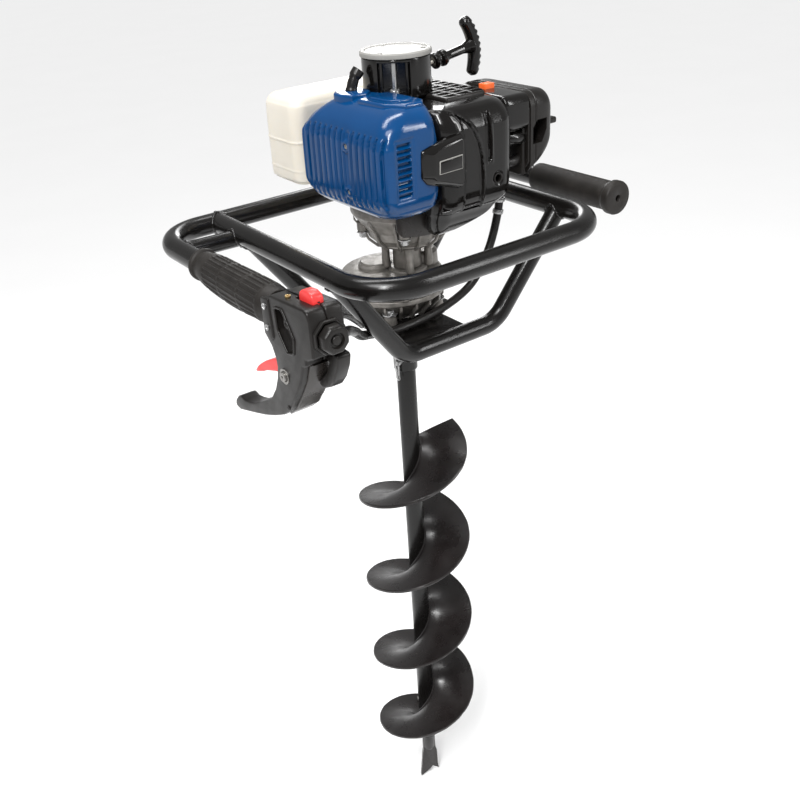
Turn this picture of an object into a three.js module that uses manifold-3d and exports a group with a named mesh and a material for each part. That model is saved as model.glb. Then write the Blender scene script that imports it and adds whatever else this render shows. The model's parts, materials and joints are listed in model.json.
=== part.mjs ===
// One-man petrol earth auger: tubular carrying frame with two grips, vertical-shaft
// two-stroke engine, two-stage reduction gearbox and a pinned 150 mm drill.
// Millimetres. +Z is up along the drill axis, +X the operator's left-hand grip side,
// -Y the way the grips point. Origin: on the drill axis at the height of the grips.
import * as THREE from 'three';
import { mergeVertices } from 'three/addons/utils/BufferGeometryUtils.js';
import Module from 'manifold-3d';

const wasm = await Module();
wasm.setup();

// ---------------------------------------------------------------- driving dimensions
const TUBE_R = 12.1;            // main frame tube, 24 mm outside
const TUBE_BORE = 10.1;
const CRADLE_R = 11;            // lower cradle tube, 22 mm outside
const CRADLE_BORE = 9;
const HANDLE_XL = -235.6;       // throttle-side leg of the handle tube
const HANDLE_XR = 230.6;        // plain-grip leg
const HANDLE_YR = 149.5;        // rear run of the handle tube
const BEND_R = 60;
const HANDLE_BEND_R = 55;
const RING_XL = -157.5;
const RING_XR = 162.4;
const RING_YF = -180.3;
const CRADLE_Z = -123;          // cross runs of both cradles
const CRADLE_XL = -66;
const CRADLE_XR = 69;
const CRADLE_FRONT_Y = -93;
const CRADLE_REAR_Y = 74;
const PLATE_Z = -120;
const PLATE_T = 5;

const CRANK_X = 12;             // crank axis, offset from the drill axis
const INTER = [-13, 31];        // intermediate gear axis
const GEARBOX_C = [-1, 16];
const GEARBOX_R = 64.5;
const STAGE1 = [7, 36];         // teeth: input pinion, intermediate gear
const STAGE2 = [7, 34];         // teeth: intermediate pinion, output gear

const DRILL_D = 150;
const DRILL_TUBE_R = 12.3;
const PITCH = 140.9;
const HELIX_Z0 = -864.3;        // height of the flight at angle zero
const HELIX_START = 50;         // degrees
const HELIX_END = 1442;
const FLIGHT_T = 5;
const TIP_Z = -942.7;
const PIN_Z = -180;
const PIN_ANGLE = 205;          // degrees about Z, clip end of the hitch pin

const PULL_TILT = 10;           // degrees above horizontal, starter rope
const REEL_R = 20;
const GAP = 0.3;

// ---------------------------------------------------------------- helpers
const V3 = (x, y, z) => new THREE.Vector3(x, y, z);
const rad = THREE.MathUtils.degToRad;

function clean(geometry) {
  let g = geometry.index ? geometry.toNonIndexed() : geometry.clone();
  for (const k of Object.keys(g.attributes)) if (k !== 'position') g.deleteAttribute(k);
  g = mergeVertices(g, 1e-4);
  const p = g.attributes.position.array;
  const src = g.index.array;
  const out = [];
  let vol = 0;
  for (let i = 0; i < src.length; i += 3) {
    const a = src[i], b = src[i + 1], c = src[i + 2];
    if (a === b || b === c || a === c) continue;
    out.push(a, b, c);
    const [ax, ay, az] = [p[3 * a], p[3 * a + 1], p[3 * a + 2]];
    const [bx, by, bz] = [p[3 * b], p[3 * b + 1], p[3 * b + 2]];
    const [cx, cy, cz] = [p[3 * c], p[3 * c + 1], p[3 * c + 2]];
    vol += ax * (by * cz - bz * cy) - ay * (bx * cz - bz * cx) + az * (bx * cy - by * cx);
  }
  if (vol < 0) for (let i = 0; i < out.length; i += 3) { const t = out[i]; out[i] = out[i + 1]; out[i + 1] = t; }
  const r = new THREE.BufferGeometry();
  r.setAttribute('position', new THREE.BufferAttribute(new Float32Array(p), 3));
  r.setIndex(out);
  return r;
}

function solid(geometry) {
  const g = clean(geometry);
  return new wasm.Manifold(new wasm.Mesh({
    numProp: 3,
    vertProperties: new Float32Array(g.attributes.position.array),
    triVerts: new Uint32Array(g.index.array),
  }));
}

function fromSolid(m) {
  const k = m.getMesh();
  const g = new THREE.BufferGeometry();
  const n = k.vertProperties.length / k.numProp;
  const pos = new Float32Array(n * 3);
  for (let i = 0; i < n; i++) for (let j = 0; j < 3; j++) pos[3 * i + j] = k.vertProperties[i * k.numProp + j];
  g.setAttribute('position', new THREE.BufferAttribute(pos, 3));
  g.setIndex(Array.from(k.triVerts));
  return g;
}

const union = (...gs) => gs.map(solid).reduce((a, b) => a.add(b));
const cut = (g, ...tools) => fromSolid(tools.map(solid).reduce((a, b) => a.subtract(b), g.getMesh ? g : solid(g)));

function circle(r, sides, phase = 0) {
  const pts = [];
  for (let i = 0; i < sides; i++) {
    const a = phase + (2 * Math.PI * i) / sides;
    pts.push(new THREE.Vector2(r * Math.cos(a), r * Math.sin(a)));
  }
  return pts;
}

// a route made of given stations; the sweep has one ring at each station
class Route extends THREE.Curve {
  constructor(points) { super(); this.points = points; }
  getPoint(t, target = new THREE.Vector3()) {
    const n = this.points.length - 1;
    const s = Math.min(Math.max(t * n, 0), n);
    const i = Math.min(Math.floor(s + 1e-6), n - 1);
    return target.copy(this.points[i]).lerp(this.points[i + 1], s - i);
  }
  getPointAt(u, target) { return this.getPoint(u, target); }
  getTangentAt(u, target = new THREE.Vector3()) {
    const n = this.points.length - 1;
    const i = Math.round(u * n);
    const a = this.points[Math.max(i - 1, 0)], m = this.points[i], b = this.points[Math.min(i + 1, n)];
    const d1 = V3(0, 0, 0).subVectors(m, a), d2 = V3(0, 0, 0).subVectors(b, m);
    if (d1.lengthSq() > 0) d1.normalize();
    if (d2.lengthSq() > 0) d2.normalize();
    return target.addVectors(d1, d2).normalize();
  }
  getTangent(t, target) { return this.getTangentAt(t, target); }
}

function tube(points, r, sides = 12, bore = 0) {
  const shape = new THREE.Shape(circle(r, sides));
  if (bore > 0) shape.holes.push(new THREE.Path(circle(bore, 6).reverse()));
  return clean(new THREE.ExtrudeGeometry(shape, { steps: points.length - 1, bevelEnabled: false, extrudePath: new Route(points) }));
}

// polyline with its corners rounded: corners = [[x,y,z,bendRadius], ...]
function bent(corners, perBend = 6) {
  const out = [V3(...corners[0].slice(0, 3))];
  for (let i = 1; i < corners.length - 1; i++) {
    const p = V3(...corners[i].slice(0, 3)), r = corners[i][3];
    const a = V3(...corners[i - 1].slice(0, 3)).sub(p).normalize();
    const b = V3(...corners[i + 1].slice(0, 3)).sub(p).normalize();
    const ang = a.angleTo(b);
    const d = r / Math.tan(ang / 2);
    const bis = a.clone().add(b).normalize();
    const c = p.clone().addScaledVector(bis, r / Math.sin(ang / 2));
    const s = p.clone().addScaledVector(a, d), e = p.clone().addScaledVector(b, d);
    const u = s.clone().sub(c).normalize(), w = e.clone().sub(c).normalize();
    const sweep = u.angleTo(w);
    for (let k = 0; k <= perBend; k++) {
      const t = k / perBend;
      const q = u.clone().multiplyScalar(Math.sin((1 - t) * sweep) / Math.sin(sweep)).addScaledVector(w, Math.sin(t * sweep) / Math.sin(sweep));
      out.push(c.clone().addScaledVector(q, r));
    }
  }
  out.push(V3(...corners[corners.length - 1].slice(0, 3)));
  return out;
}

// solid of revolution about Z from an [r, z] profile (closed, or both ends on the axis)
function lathe(profile, segments = 24, x = 0, y = 0) {
  const pts = profile.map(([r, z]) => new THREE.Vector2(r, z));
  if (profile[0][0] > 1e-9 || profile[profile.length - 1][0] > 1e-9) pts.push(pts[0].clone());
  const g = new THREE.LatheGeometry(pts, Math.max(8, Math.round(segments * 0.8)));
  g.rotateX(Math.PI / 2);
  g.translate(x, y, 0);
  return clean(g);
}
const disc = (r, z0, z1, seg = 24, x = 0, y = 0) => lathe([[0, z0], [r, z0], [r, z1], [0, z1]], seg, x, y);
const ring = (ro, ri, z0, z1, seg = 24, x = 0, y = 0) => lathe([[ri, z0], [ro, z0], [ro, z1], [ri, z1]], seg, x, y);

// extrude an outline along Z, X or Y
function slab(points, z0, z1, holes = []) {
  const shape = new THREE.Shape(points.map(([x, y]) => new THREE.Vector2(x, y)));
  for (const h of holes) shape.holes.push(new THREE.Path(h.map(([x, y]) => new THREE.Vector2(x, y))));
  const g = new THREE.ExtrudeGeometry(shape, { depth: z1 - z0, bevelEnabled: false });
  g.translate(0, 0, z0);
  return clean(g);
}
function slabX(yz, x0, x1, holes = []) {       // outline given as [y, z]
  const g = slab(yz, x0, x1, holes);
  g.applyMatrix4(new THREE.Matrix4().set(0, 0, 1, 0, 1, 0, 0, 0, 0, 1, 0, 0, 0, 0, 0, 1));
  return g;
}
function slabY(xz, y0, y1, holes = []) {       // outline given as [x, z]
  const g = slab(xz, -y1, -y0, holes);
  g.rotateX(Math.PI / 2);
  return clean(g);
}
const rect = (x0, x1, y0, y1) => [[x0, y0], [x1, y0], [x1, y1], [x0, y1]];
function rounded(x0, x1, y0, y1, r, n = 4) {
  const out = [];
  for (const [cx, cy, a0] of [[x1 - r, y0 + r, -90], [x1 - r, y1 - r, 0], [x0 + r, y1 - r, 90], [x0 + r, y0 + r, 180]])
    for (let k = 0; k <= n; k++) { const a = rad(a0 + (90 * k) / n); out.push([cx + r * Math.cos(a), cy + r * Math.sin(a)]); }
  return out;
}
const block = (x0, x1, y0, y1, z0, z1) => slab(rect(x0, x1, y0, y1), z0, z1);

// a pillow-edged box: rounded plan outlines stacked at several heights
function loft(sections) {                       // sections = [[z, outline], ...] with equal counts
  const n = sections[0][1].length;
  const pos = [];
  const idx = [];
  for (const [z, o] of sections) for (const [x, y] of o) pos.push(x, y, z);
  for (let s = 0; s < sections.length - 1; s++)
    for (let i = 0; i < n; i++) {
      const j = (i + 1) % n, a = s * n + i, b = s * n + j, c = (s + 1) * n + j, d = (s + 1) * n + i;
      idx.push(a, b, c, a, c, d);
    }
  const caps = (s, flip) => {
    const tri = THREE.ShapeUtils.triangulateShape(sections[s][1].map(([x, y]) => new THREE.Vector2(x, y)), []);
    for (const [a, b, c] of tri) idx.push(s * n + a, s * n + (flip ? c : b), s * n + (flip ? b : c));
  };
  caps(0, true);
  caps(sections.length - 1, false);
  const g = new THREE.BufferGeometry();
  g.setAttribute('position', new THREE.BufferAttribute(new Float32Array(pos), 3));
  g.setIndex(idx);
  return clean(g);
}
function pillow(x0, x1, y0, y1, z0, z1, r, e, n = 3) {
  const sec = [];
  for (const [t, k] of [[0, 1], [0.4, 0.3], [1, 0]]) sec.push([z0 + e * t, rounded(x0 + e * k, x1 - e * k, y0 + e * k, y1 - e * k, Math.max(r - e * k, 2), n)]);
  for (const [t, k] of [[1, 0], [0.4, 0.3], [0, 1]]) sec.push([z1 - e * t, rounded(x0 + e * k, x1 - e * k, y0 + e * k, y1 - e * k, Math.max(r - e * k, 2), n)]);
  return loft(sec);
}

function along(geometry, from, dir) {           // put a +Z geometry's origin at from, pointing along dir
  const g = geometry.clone();
  const q = new THREE.Quaternion().setFromUnitVectors(V3(0, 0, 1), dir.clone().normalize());
  g.applyQuaternion(q);
  g.translate(from.x, from.y, from.z);
  return g;
}

function gear(teeth, module, z0, z1, x, y, phase, bore, ad = 0.8, de = 1.05) {
  const rp = (module * teeth) / 2, ra = rp + ad * module, rf = rp - de * module;
  const pitch = (2 * Math.PI) / teeth;
  const pts = [];
  for (let i = 0; i < teeth; i++) {
    const c = phase + i * pitch;
    // [radius, half angle]: root, pitch line, tip; the flanks leave about a quarter of the pitch as backlash
    for (const [r, h] of [[rf, -0.27], [ra, -0.1], [ra, 0.1], [rf, 0.27]]) pts.push([x + r * Math.cos(c + h * pitch), y + r * Math.sin(c + h * pitch)]);
  }
  const hole = bore > 0 ? [circle(bore, 12).map((v) => [x + v.x, y + v.y]).reverse()] : [];
  return slab(pts, z0, z1, hole);
}

// ---------------------------------------------------------------- scene graph
const group = new THREE.Group();
const COLOURS = {
  frame: [0x141313, 0.28, 0.25], grip: [0x1c1b1b, 0.8, 0], plastic: [0x1b1a1a, 0.45, 0], gloss: [0x121111, 0.2, 0],
  red: [0xdb2f33, 0.4, 0], orange: [0xe8622f, 0.4, 0], blue: [0x0f4c8a, 0.25, 0], alu: [0xb5b0aa, 0.45, 0.85],
  silver: [0xd2d0cc, 0.3, 0.9], steel: [0x9a9894, 0.35, 0.95], tank: [0xece8e2, 0.4, 0], flight: [0x3a3436, 0.42, 0.4],
  rubber: [0x191919, 0.7, 0], iron: [0x55524e, 0.6, 0.6], bronze: [0x8c6a3c, 0.5, 0.7], foam: [0x3c3c3a, 0.95, 0], rope: [0xd8d4c8, 0.8, 0],
};
function add(name, geometry, key) {
  const [color, roughness, metalness] = COLOURS[key];
  const g = geometry.getMesh ? fromSolid(geometry) : geometry;
  const mesh = new THREE.Mesh(g, new THREE.MeshStandardMaterial({ color, roughness, metalness }));
  mesh.name = name;
  group.add(mesh);
  return mesh;
}

// ---------------------------------------------------------------- frame tubes
const handlePts = bent([[HANDLE_XL, -219, 0], [HANDLE_XL, HANDLE_YR, 0, HANDLE_BEND_R], [HANDLE_XR, HANDLE_YR, 0, HANDLE_BEND_R], [HANDLE_XR, -126, 0]]);
add('handle_tube', tube(handlePts, TUBE_R, 12, TUBE_BORE), 'frame');

const ringPts = bent([[RING_XL, HANDLE_YR, 0], [RING_XL, RING_YF, 0, BEND_R], [RING_XR, RING_YF, 0, BEND_R], [RING_XR, HANDLE_YR, 0]]);
const handleCope = tube([V3(-225, HANDLE_YR, 0), V3(220, HANDLE_YR, 0)], TUBE_R + GAP, 24);
add('ring_tube', cut(tube(ringPts, TUBE_R, 12, TUBE_BORE), handleCope), 'frame');

const ringLegL = tube([V3(RING_XL, -175, 0), V3(RING_XL, 175, 0)], TUBE_R + GAP, 24);
const ringLegR = tube([V3(RING_XR, -175, 0), V3(RING_XR, 175, 0)], TUBE_R + GAP, 24);
const cradleRoute = (yLow, yHigh) => bent([[RING_XL, yHigh, 0], [CRADLE_XL, yLow, CRADLE_Z, 38], [CRADLE_XR, yLow, CRADLE_Z, 38], [RING_XR, yHigh, 0]], 5);
function cradle(yLow, yHigh) {
  const pts = cradleRoute(yLow, yHigh);
  return cut(tube(pts, CRADLE_R, 10, CRADLE_BORE), ringLegL, ringLegR);
}
add('cradle_tube_front', cradle(CRADLE_FRONT_Y, -102), 'frame');
add('cradle_tube_rear', cradle(CRADLE_REAR_Y, 72), 'frame');

const handleLegL = tube([V3(HANDLE_XL, -200, 0), V3(HANDLE_XL, 200, 0)], TUBE_R + GAP, 24);
const handleLegR = tube([V3(HANDLE_XR, -200, 0), V3(HANDLE_XR, 200, 0)], TUBE_R + GAP, 24);
// welded just behind the rear cradle's leg, where both meet the ring
const stubL = tube([V3(HANDLE_XL, 84, 0), V3(RING_XL, 93, -5)], 10, 12, 7.5);
const stubR = tube([V3(HANDLE_XR, 84, 0), V3(RING_XR, 93, -5)], 10, 12, 7.5);
add('stub_brace_left', cut(stubL, ringLegL, handleLegL), 'frame');
add('stub_brace_right', cut(stubR, ringLegR, handleLegR), 'frame');

// plate welded between the two cradles; the gearbox is bolted on it
const frontRun = tube(cradleRoute(CRADLE_FRONT_Y, -102), CRADLE_R + 0.5, 16);
const rearRun = tube(cradleRoute(CRADLE_REAR_Y, 72), CRADLE_R + 0.5, 16);
let plate = solid(slab(rounded(-62, 60, CRADLE_FRONT_Y + 5, CRADLE_REAR_Y - 5, 5, 2), PLATE_Z, PLATE_Z + PLATE_T, [circle(26, 20).map((v) => [v.x, v.y]).reverse()]));
plate = plate.subtract(solid(frontRun)).subtract(solid(rearRun)).subtract(solid(block(28, 80, -120, -20, -130, -100)));
add('mounting_plate', plate, 'frame');

// ---------------------------------------------------------------- grips
function gripSleeve(profile, x, bulge) {
  const g = lathe(profile.map(([r, s]) => [r, s]), 20);
  // +Z of the lathe runs towards -Y
  g.rotateX(Math.PI / 2);
  g.translate(x, 0, 0);
  if (bulge) {
    const p = g.attributes.position;
    for (let i = 0; i < p.count; i++) {
      const r = Math.hypot(p.getX(i) - x, p.getZ(i));
      if (r < 13.5) continue;
      const t = THREE.MathUtils.clamp((-p.getY(i) + 20) / 140, 0, 1);
      const w = Math.sin(Math.PI * Math.min(t * 1.15, 1)) * 5;
      if (p.getZ(i) < 0) p.setZ(i, p.getZ(i) - w * (-p.getZ(i) / r));
    }
  }
  return clean(g);
}
add('grip_left', gripSleeve([[12.5, -31], [17.5, -31], [17.5, -27], [15.5, -25], [15.5, -20], [18, -5], [19.5, 30], [20, 90], [19, 120], [18, 130], [12.5, 130]], HANDLE_XL, true), 'grip');
add('grip_right', gripSleeve([[12.5, -4], [16, -4], [17.6, 4], [17.6, 118], [18.5, 121], [20.5, 124], [20.5, 131], [19, 133], [4, 133], [4, 129], [12.5, 129]], HANDLE_XR, false), 'grip');

// ---------------------------------------------------------------- throttle unit
const TX = HANDLE_XL;
const throttleBody = [[-131, -22], [-131, 16], [-140, 20], [-150, 24], [-208, 28], [-214, 26], [-217, 18], [-217, -18], [-203, -24], [-203, -30], [-196, -33], [-190, -50], [-176, -72], [-160, -94],
  [-146, -104], [-126, -113.5], [-80, -129.5], [-48, -139], [-38, -136], [-40, -128], [-54, -119], [-66, -122.5], [-84, -116], [-105, -105], [-124, -93.5], [-136, -78], [-143, -63], [-146, -50], [-145, -41], [-140, -30]];
const tubeHole = tube([V3(TX, -100, 0), V3(TX, -260, 0)], TUBE_R + GAP, 24);
const halfL = solid(slabX(throttleBody, TX - 19, TX - 0.15)).subtract(solid(tubeHole));
const triggerSlot = slabX([[-180, -46], [-152, -40], [-120, -44], [-120, -70], [-150, -80], [-172, -70], [-180, -58]], TX - 8.5, TX + 8.5);
const bodyR = [[-131, -22], [-131, 16], [-140, 20], [-150, 24], [-208, 28], [-214, 26], [-217, 18], [-217, -18], [-203, -24], [-203, -30], [-196, -33], [-190, -50], [-176, -72], [-166, -86], [-148, -86], [-138, -74], [-143, -63], [-146, -50], [-145, -41], [-140, -30]];
let halfR = solid(slabX(bodyR, TX + 0.15, TX + 18)).subtract(solid(tubeHole));
const pivotHole = tube([V3(TX - 30, -160, -55.4), V3(TX + 30, -160, -55.4)], 3.3, 12);
const switchSlot = block(TX - 6.3, TX + 6.3, -205.3, -174, 14, 40);
const conduitHole = tube([V3(TX + 5, -198, -17), V3(TX + 40, -190, -17)], 6.2, 12);
const leftHalf = halfL.subtract(solid(triggerSlot)).subtract(solid(pivotHole)).subtract(solid(switchSlot));
add('throttle_housing_left', leftHalf, 'plastic');
// with the curved hand guard in front of the arm
const frontGuard = slabX([[-190, -21], [-214, -18.2], [-222, -18.6], [-224.5, -21], [-222, -32], [-215, -46], [-206, -57], [-194, -63], [-186, -60], [-192, -52], [-202, -43], [-208, -30], [-190, -28]], TX + 2, TX + 17);
const rightHalf = halfR.add(solid(frontGuard)).subtract(solid(triggerSlot)).subtract(solid(pivotHole)).subtract(solid(switchSlot)).subtract(solid(block(TX + 12, TX + 19, -206, -184, -24, -8)));
add('throttle_housing_right', rightHalf, 'plastic');

const triggerOutline = [[-166, -50], [-160, -48], [-145, -48.5], [-129, -53], [-107, -61.5], [-90, -71], [-78, -80], [-73, -86], [-76, -86.5], [-90, -81], [-107, -74], [-126, -68.5], [-142, -66], [-152, -66], [-163, -62], [-167, -57]];
add('throttle_trigger', cut(slabX(triggerOutline, TX - 7, TX + 7), pivotHole), 'red');
{
  const pts = [[0, -22.3], [5.2, -22.3], [5.2, -19.4], [3, -19.4], [3, 17], [0, 17]];
  const g = along(lathe(pts, 12), V3(TX, -160, -55.4), V3(1, 0, 0));
  add('trigger_pivot_screw', g, 'steel');
}
add('throttle_switch', slabX([[-205, 19], [-181, 19], [-181, 33], [-184, 36.5], [-196, 37.5], [-203, 35], [-205, 32]], TX - 6, TX + 6), 'red');
{
  // octagonal plug in the tube end, with the conduit gland behind it
  const g = lathe([[0, -1], [8.1, -1], [8.1, 12.3], [11, 12.3], [14.6, 13.5], [14.6, 21.5], [12.6, 24], [0, 24]], 8);
  g.rotateZ(Math.PI / 8);
  add('tube_end_plug', along(g, V3(TX, -207, 0), V3(0, -1, 0)), 'plastic');
}
// control cable in its conduit, from the carburettor down past the gearbox to the throttle
const hosePts = new THREE.CatmullRomCurve3([V3(104, -62, 64), V3(105, -61.5, 42), V3(106, -61, 14), V3(102, -61, -8), V3(88, -61, -45), V3(60, -61, -81), V3(12, -60.5, -100), V3(-45, -60, -106),
  V3(-72, -63, -102), V3(-97, -74, -92), V3(-125, -99, -76), V3(-165, -148, -42), V3(-199, -187, -17.5), V3(-213, -192, -16.3), V3(-220, -194, -16)]).getSpacedPoints(36);
add('throttle_conduit', tube(hosePts, 5.5, 8), 'rubber');
add('stop_lead', tube(new THREE.CatmullRomCurve3([V3(-216.9, -201, 6), V3(-212.5, -201, 6), V3(-206, -196, 3.5), V3(-190, -180, -8), V3(-165, -156, -30), V3(-146, -133, -47)]).getSpacedPoints(14), 2.5, 8), 'rubber');

// ---------------------------------------------------------------- gearbox
const [gx, gy] = GEARBOX_C, [ix, iy] = INTER;
let cover = union(
  lathe([[0, -84], [GEARBOX_R, -84], [GEARBOX_R, -71], [62, -66.5], [46, -64], [30, -63], [0, -63]], 28, gx, gy),
  lathe([[0, -70], [19, -70], [19, -57.5], [17.5, -56], [0, -56]], 20, ix, iy + 2),
  lathe([[0, -70], [24, -70], [24, -61], [20, -60.5], [0, -60.5]], 20, CRANK_X, 0),
  lathe([[0, -75], [21, -75], [21, -50], [17, -46], [0, -46]], 20, 38, 8),
);
cover = cover.subtract(union(lathe([[0, -90], [58, -90], [58, -79], [56.5, -74.6], [44, -70], [0, -70]], 24, gx, gy)));
cover = cover.subtract(solid(disc(9.5, -95, -40, 16, CRANK_X, 0))).subtract(solid(disc(17.6, -60.5, -40, 24, CRANK_X, 0)));
cover = cover.subtract(solid(disc(7.3, -80, -60, 16, ix, iy)));
add('gearbox_cover', cover, 'alu');
let base = solid(lathe([[0, -84.3], [GEARBOX_R, -84.3], [GEARBOX_R, -91], [58, -94], [47, -107], [42, -111], [42, -114.7], [0, -114.7]], 28, gx, gy));
base = base.add(solid(disc(22, -119, -100, 24, 0, 0)));
base = base.subtract(solid(lathe([[0, -80], [58, -80], [58, -90], [53, -92.5], [44, -105], [0, -105]], 24, gx, gy)));
base = base.subtract(solid(disc(19.3, -112, -95, 24, 0, 0))).subtract(solid(disc(11, -125, -95, 24, 0, 0)));
base = base.subtract(solid(disc(5.3, -108, -100, 16, ix, iy)));
add('gearbox_base', base, 'alu');
add('output_bearing', ring(18.8, 10.4, -111.7, -105.5, 20, 0, 0), 'steel');

const a1 = Math.hypot(CRANK_X - ix, 0 - iy), a2 = Math.hypot(ix, iy);
const m1 = (2 * a1) / (STAGE1[0] + STAGE1[1]), m2 = (2 * a2) / (STAGE2[0] + STAGE2[1]);
const dirInterToInput = Math.atan2(0 - iy, CRANK_X - ix), dirInterToOut = Math.atan2(-iy, -ix);
const p1 = (2 * Math.PI) / STAGE1[0], p2 = (2 * Math.PI) / STAGE2[0];
// input pinion tooth points away from the line of centres by half a pitch; the big gear's tooth lies on it
const inputPinion = gear(STAGE1[0], m1, -83, -73.5, CRANK_X, 0, dirInterToInput + Math.PI + p1 / 2, 0);
add('intermediate_gear', union(
  gear(STAGE1[1], m1, -82.5, -74, ix, iy, dirInterToInput, 0),
  gear(STAGE2[0], m2, -98, -82, ix, iy, dirInterToOut + p2 / 2, 0),
  lathe([[0, -104.5], [3, -104.5], [3, -90], [5, -80], [5, -73.5], [7, -73.5], [7, -66], [0, -66]], 16, ix, iy),
), 'steel');
add('output_gear', gear(STAGE2[1], m2, -97.5, -86.5, 0, 0, dirInterToOut + Math.PI, 10.8), 'steel');
add('output_shaft', cut(disc(10, -187, -84.5, 24, 0, 0), tube([V3(0, 0, PIN_Z), V3(0, 0, PIN_Z)].map((p, i) => p.clone().add(V3(Math.cos(rad(PIN_ANGLE)), Math.sin(rad(PIN_ANGLE)), 0).multiplyScalar(i ? 30 : -30))), 4.4, 12)), 'steel');

// ---------------------------------------------------------------- drill
const pinDir = V3(Math.cos(rad(PIN_ANGLE)), Math.sin(rad(PIN_ANGLE)), 0);
const pinLine = (r, k = 12) => tube([pinDir.clone().multiplyScalar(-40).setZ(PIN_Z), pinDir.clone().multiplyScalar(40).setZ(PIN_Z)], r, k);
add('drill_socket', cut(lathe([[10.4, -195], [14, -195], [15.2, -193], [15.2, -150], [14.2, -148], [10.4, -148]], 24), pinLine(4.4)), 'frame');
add('drill_tube', lathe([[10.2, TIP_Z + 92], [DRILL_TUBE_R, TIP_Z + 92], [DRILL_TUBE_R, -195.3], [10.2, -195.3]], 20), 'frame');
{
  const per = 24, n = Math.round(((HELIX_END - HELIX_START) / 360) * per);
  const ri = DRILL_TUBE_R + GAP, ro = DRILL_D / 2;
  const pos = [], idx = [];
  for (let i = 0; i <= n; i++) {
    const th = HELIX_START + ((HELIX_END - HELIX_START) * i) / n, a = rad(th), z = HELIX_Z0 + (PITCH * th) / 360;
    // both ends are cut square across the flight
    for (const [r, dz] of [[ri, 0], [ro, 0], [ro, -FLIGHT_T], [ri, -FLIGHT_T]]) pos.push(r * Math.cos(a), r * Math.sin(a), z + dz);
  }
  for (let i = 0; i < n; i++) for (let k = 0; k < 4; k++) {
    const a = i * 4 + k, b = i * 4 + ((k + 1) % 4), c = b + 4, d = a + 4;
    idx.push(a, c, b, a, d, c);
  }
  idx.push(0, 1, 2, 0, 2, 3, n * 4, n * 4 + 2, n * 4 + 1, n * 4, n * 4 + 3, n * 4 + 2);
  const g = new THREE.BufferGeometry();
  g.setAttribute('position', new THREE.BufferAttribute(new Float32Array(pos), 3));
  g.setIndex(idx);
  add('drill_flight', clean(g), 'flight');
}
{
  // fishtail pilot: a twisted-looking flat blade with a notched point, forged on a round shank
  const w = 20;
  const outline = [[-9.5, 86], [9.5, 86], [9.8, 60], [12, 52], [w * 0.62, 22], [w * 0.7, 10], [4, 18], [-2, 11], [-w * 0.8, 0], [-w * 0.72, 20], [-11, 52], [-9.8, 60]].map(([x, z]) => [x, TIP_Z + z]);
  const blade = slabY(outline, -3, 3);
  const shank = lathe([[0, TIP_Z + 58], [6, TIP_Z + 58], [9.8, TIP_Z + 66], [9.8, TIP_Z + 110], [0, TIP_Z + 110]], 16);
  const g = fromSolid(solid(blade).add(solid(shank)));
  g.rotateZ(rad(-35 + 12));
  add('pilot_point', g, 'flight');
}
{
  // replaceable cutting edge bolted under the leading edge of the flight
  const th = HELIX_START, a = rad(th + 14);
  const g = slab([[20, -16], [72, -17], [76, -6], [74, 10], [20, 12]], -4.4, -0.4);
  g.rotateX(rad(20));
  g.rotateZ(a);
  g.translate(0, 0, HELIX_Z0 + (PITCH * (th + 14)) / 360 - FLIGHT_T - 3.4);
  add('cutting_blade', g, 'steel');
}
add('hitch_pin', cut(along(lathe([[0, -19], [6, -19], [6, -15.8], [4, -15.8], [4, 21], [3, 22], [0, 22]], 12), V3(0, 0, PIN_Z), pinDir), along(disc(1.4, -10, 10, 8), pinDir.clone().multiplyScalar(18.5).setZ(PIN_Z), V3(0, 0, 1))), 'silver');
{
  // hairpin clip, its straight leg through the hole of the pin, hanging down
  const side = V3(-pinDir.y, pinDir.x, 0);
  const at = (u, w, z) => pinDir.clone().multiplyScalar(18.5 + u).addScaledVector(side, w).setZ(PIN_Z + z);
  const pts = [at(0, 0, 8), at(0, 0, 2), at(0, 0, -8), at(0, 0, -17), at(0.4, 1, -20.5), at(2.2, 1.5, -22.6), at(4.6, 1, -21.5), at(5.2, 0, -18), at(6, 0, -11), at(7.2, 0, -5), at(8, 0, 0), at(7, 0, 5), at(6.4, 0, 9), at(8, 0, 12)];
  add('hairpin_clip', tube(pts, 1.1, 8), 'silver');
}

// ---------------------------------------------------------------- engine: clutch end
const CX = CRANK_X;
add('clutch_housing', lathe([[9.6, -60], [17, -60], [17, -36], [30, -31], [46, -16], [50, -6], [60, 8], [63.5, 14], [63.5, 24], [59.5, 24], [59.5, 15], [46, -4], [36, -14], [36, -28], [9.6, -28]], 26, CX, 0), 'alu');
// drum and shaft with the input pinion cut on its end
add('clutch_drum', union(inputPinion, lathe([[0, -83], [3, -83], [3, -74], [6.5, -73.7], [6.5, -23.5], [31, -23.5], [31, 4], [28.5, 4], [28.5, -20.5], [0, -20.5]], 24, CX, 0)), 'steel');
{
  const shoe = (a0) => { const p = []; for (let k = 0; k <= 8; k++) { const a = rad(a0 + 15 + (150 * k) / 8); p.push([CX + 26.5 * Math.cos(a), 26.5 * Math.sin(a)]); } for (let k = 8; k >= 0; k--) { const a = rad(a0 + 15 + (150 * k) / 8); p.push([CX + 15 * Math.cos(a), 15 * Math.sin(a)]); } return p; };
  const hub = slab(rect(CX - 16, CX + 16, -7, 7), -9, 3);
  const g = solid(slab(shoe(0), -15, 3)).add(solid(slab(shoe(180), -15, 3))).add(solid(slab(rect(CX - 5, CX + 5, -17, 17), -9, 3))).add(solid(hub)).subtract(solid(disc(7.8, -20, 10, 16, CX, 0)));
  add('clutch_rotor', g, 'iron');
}
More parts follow.
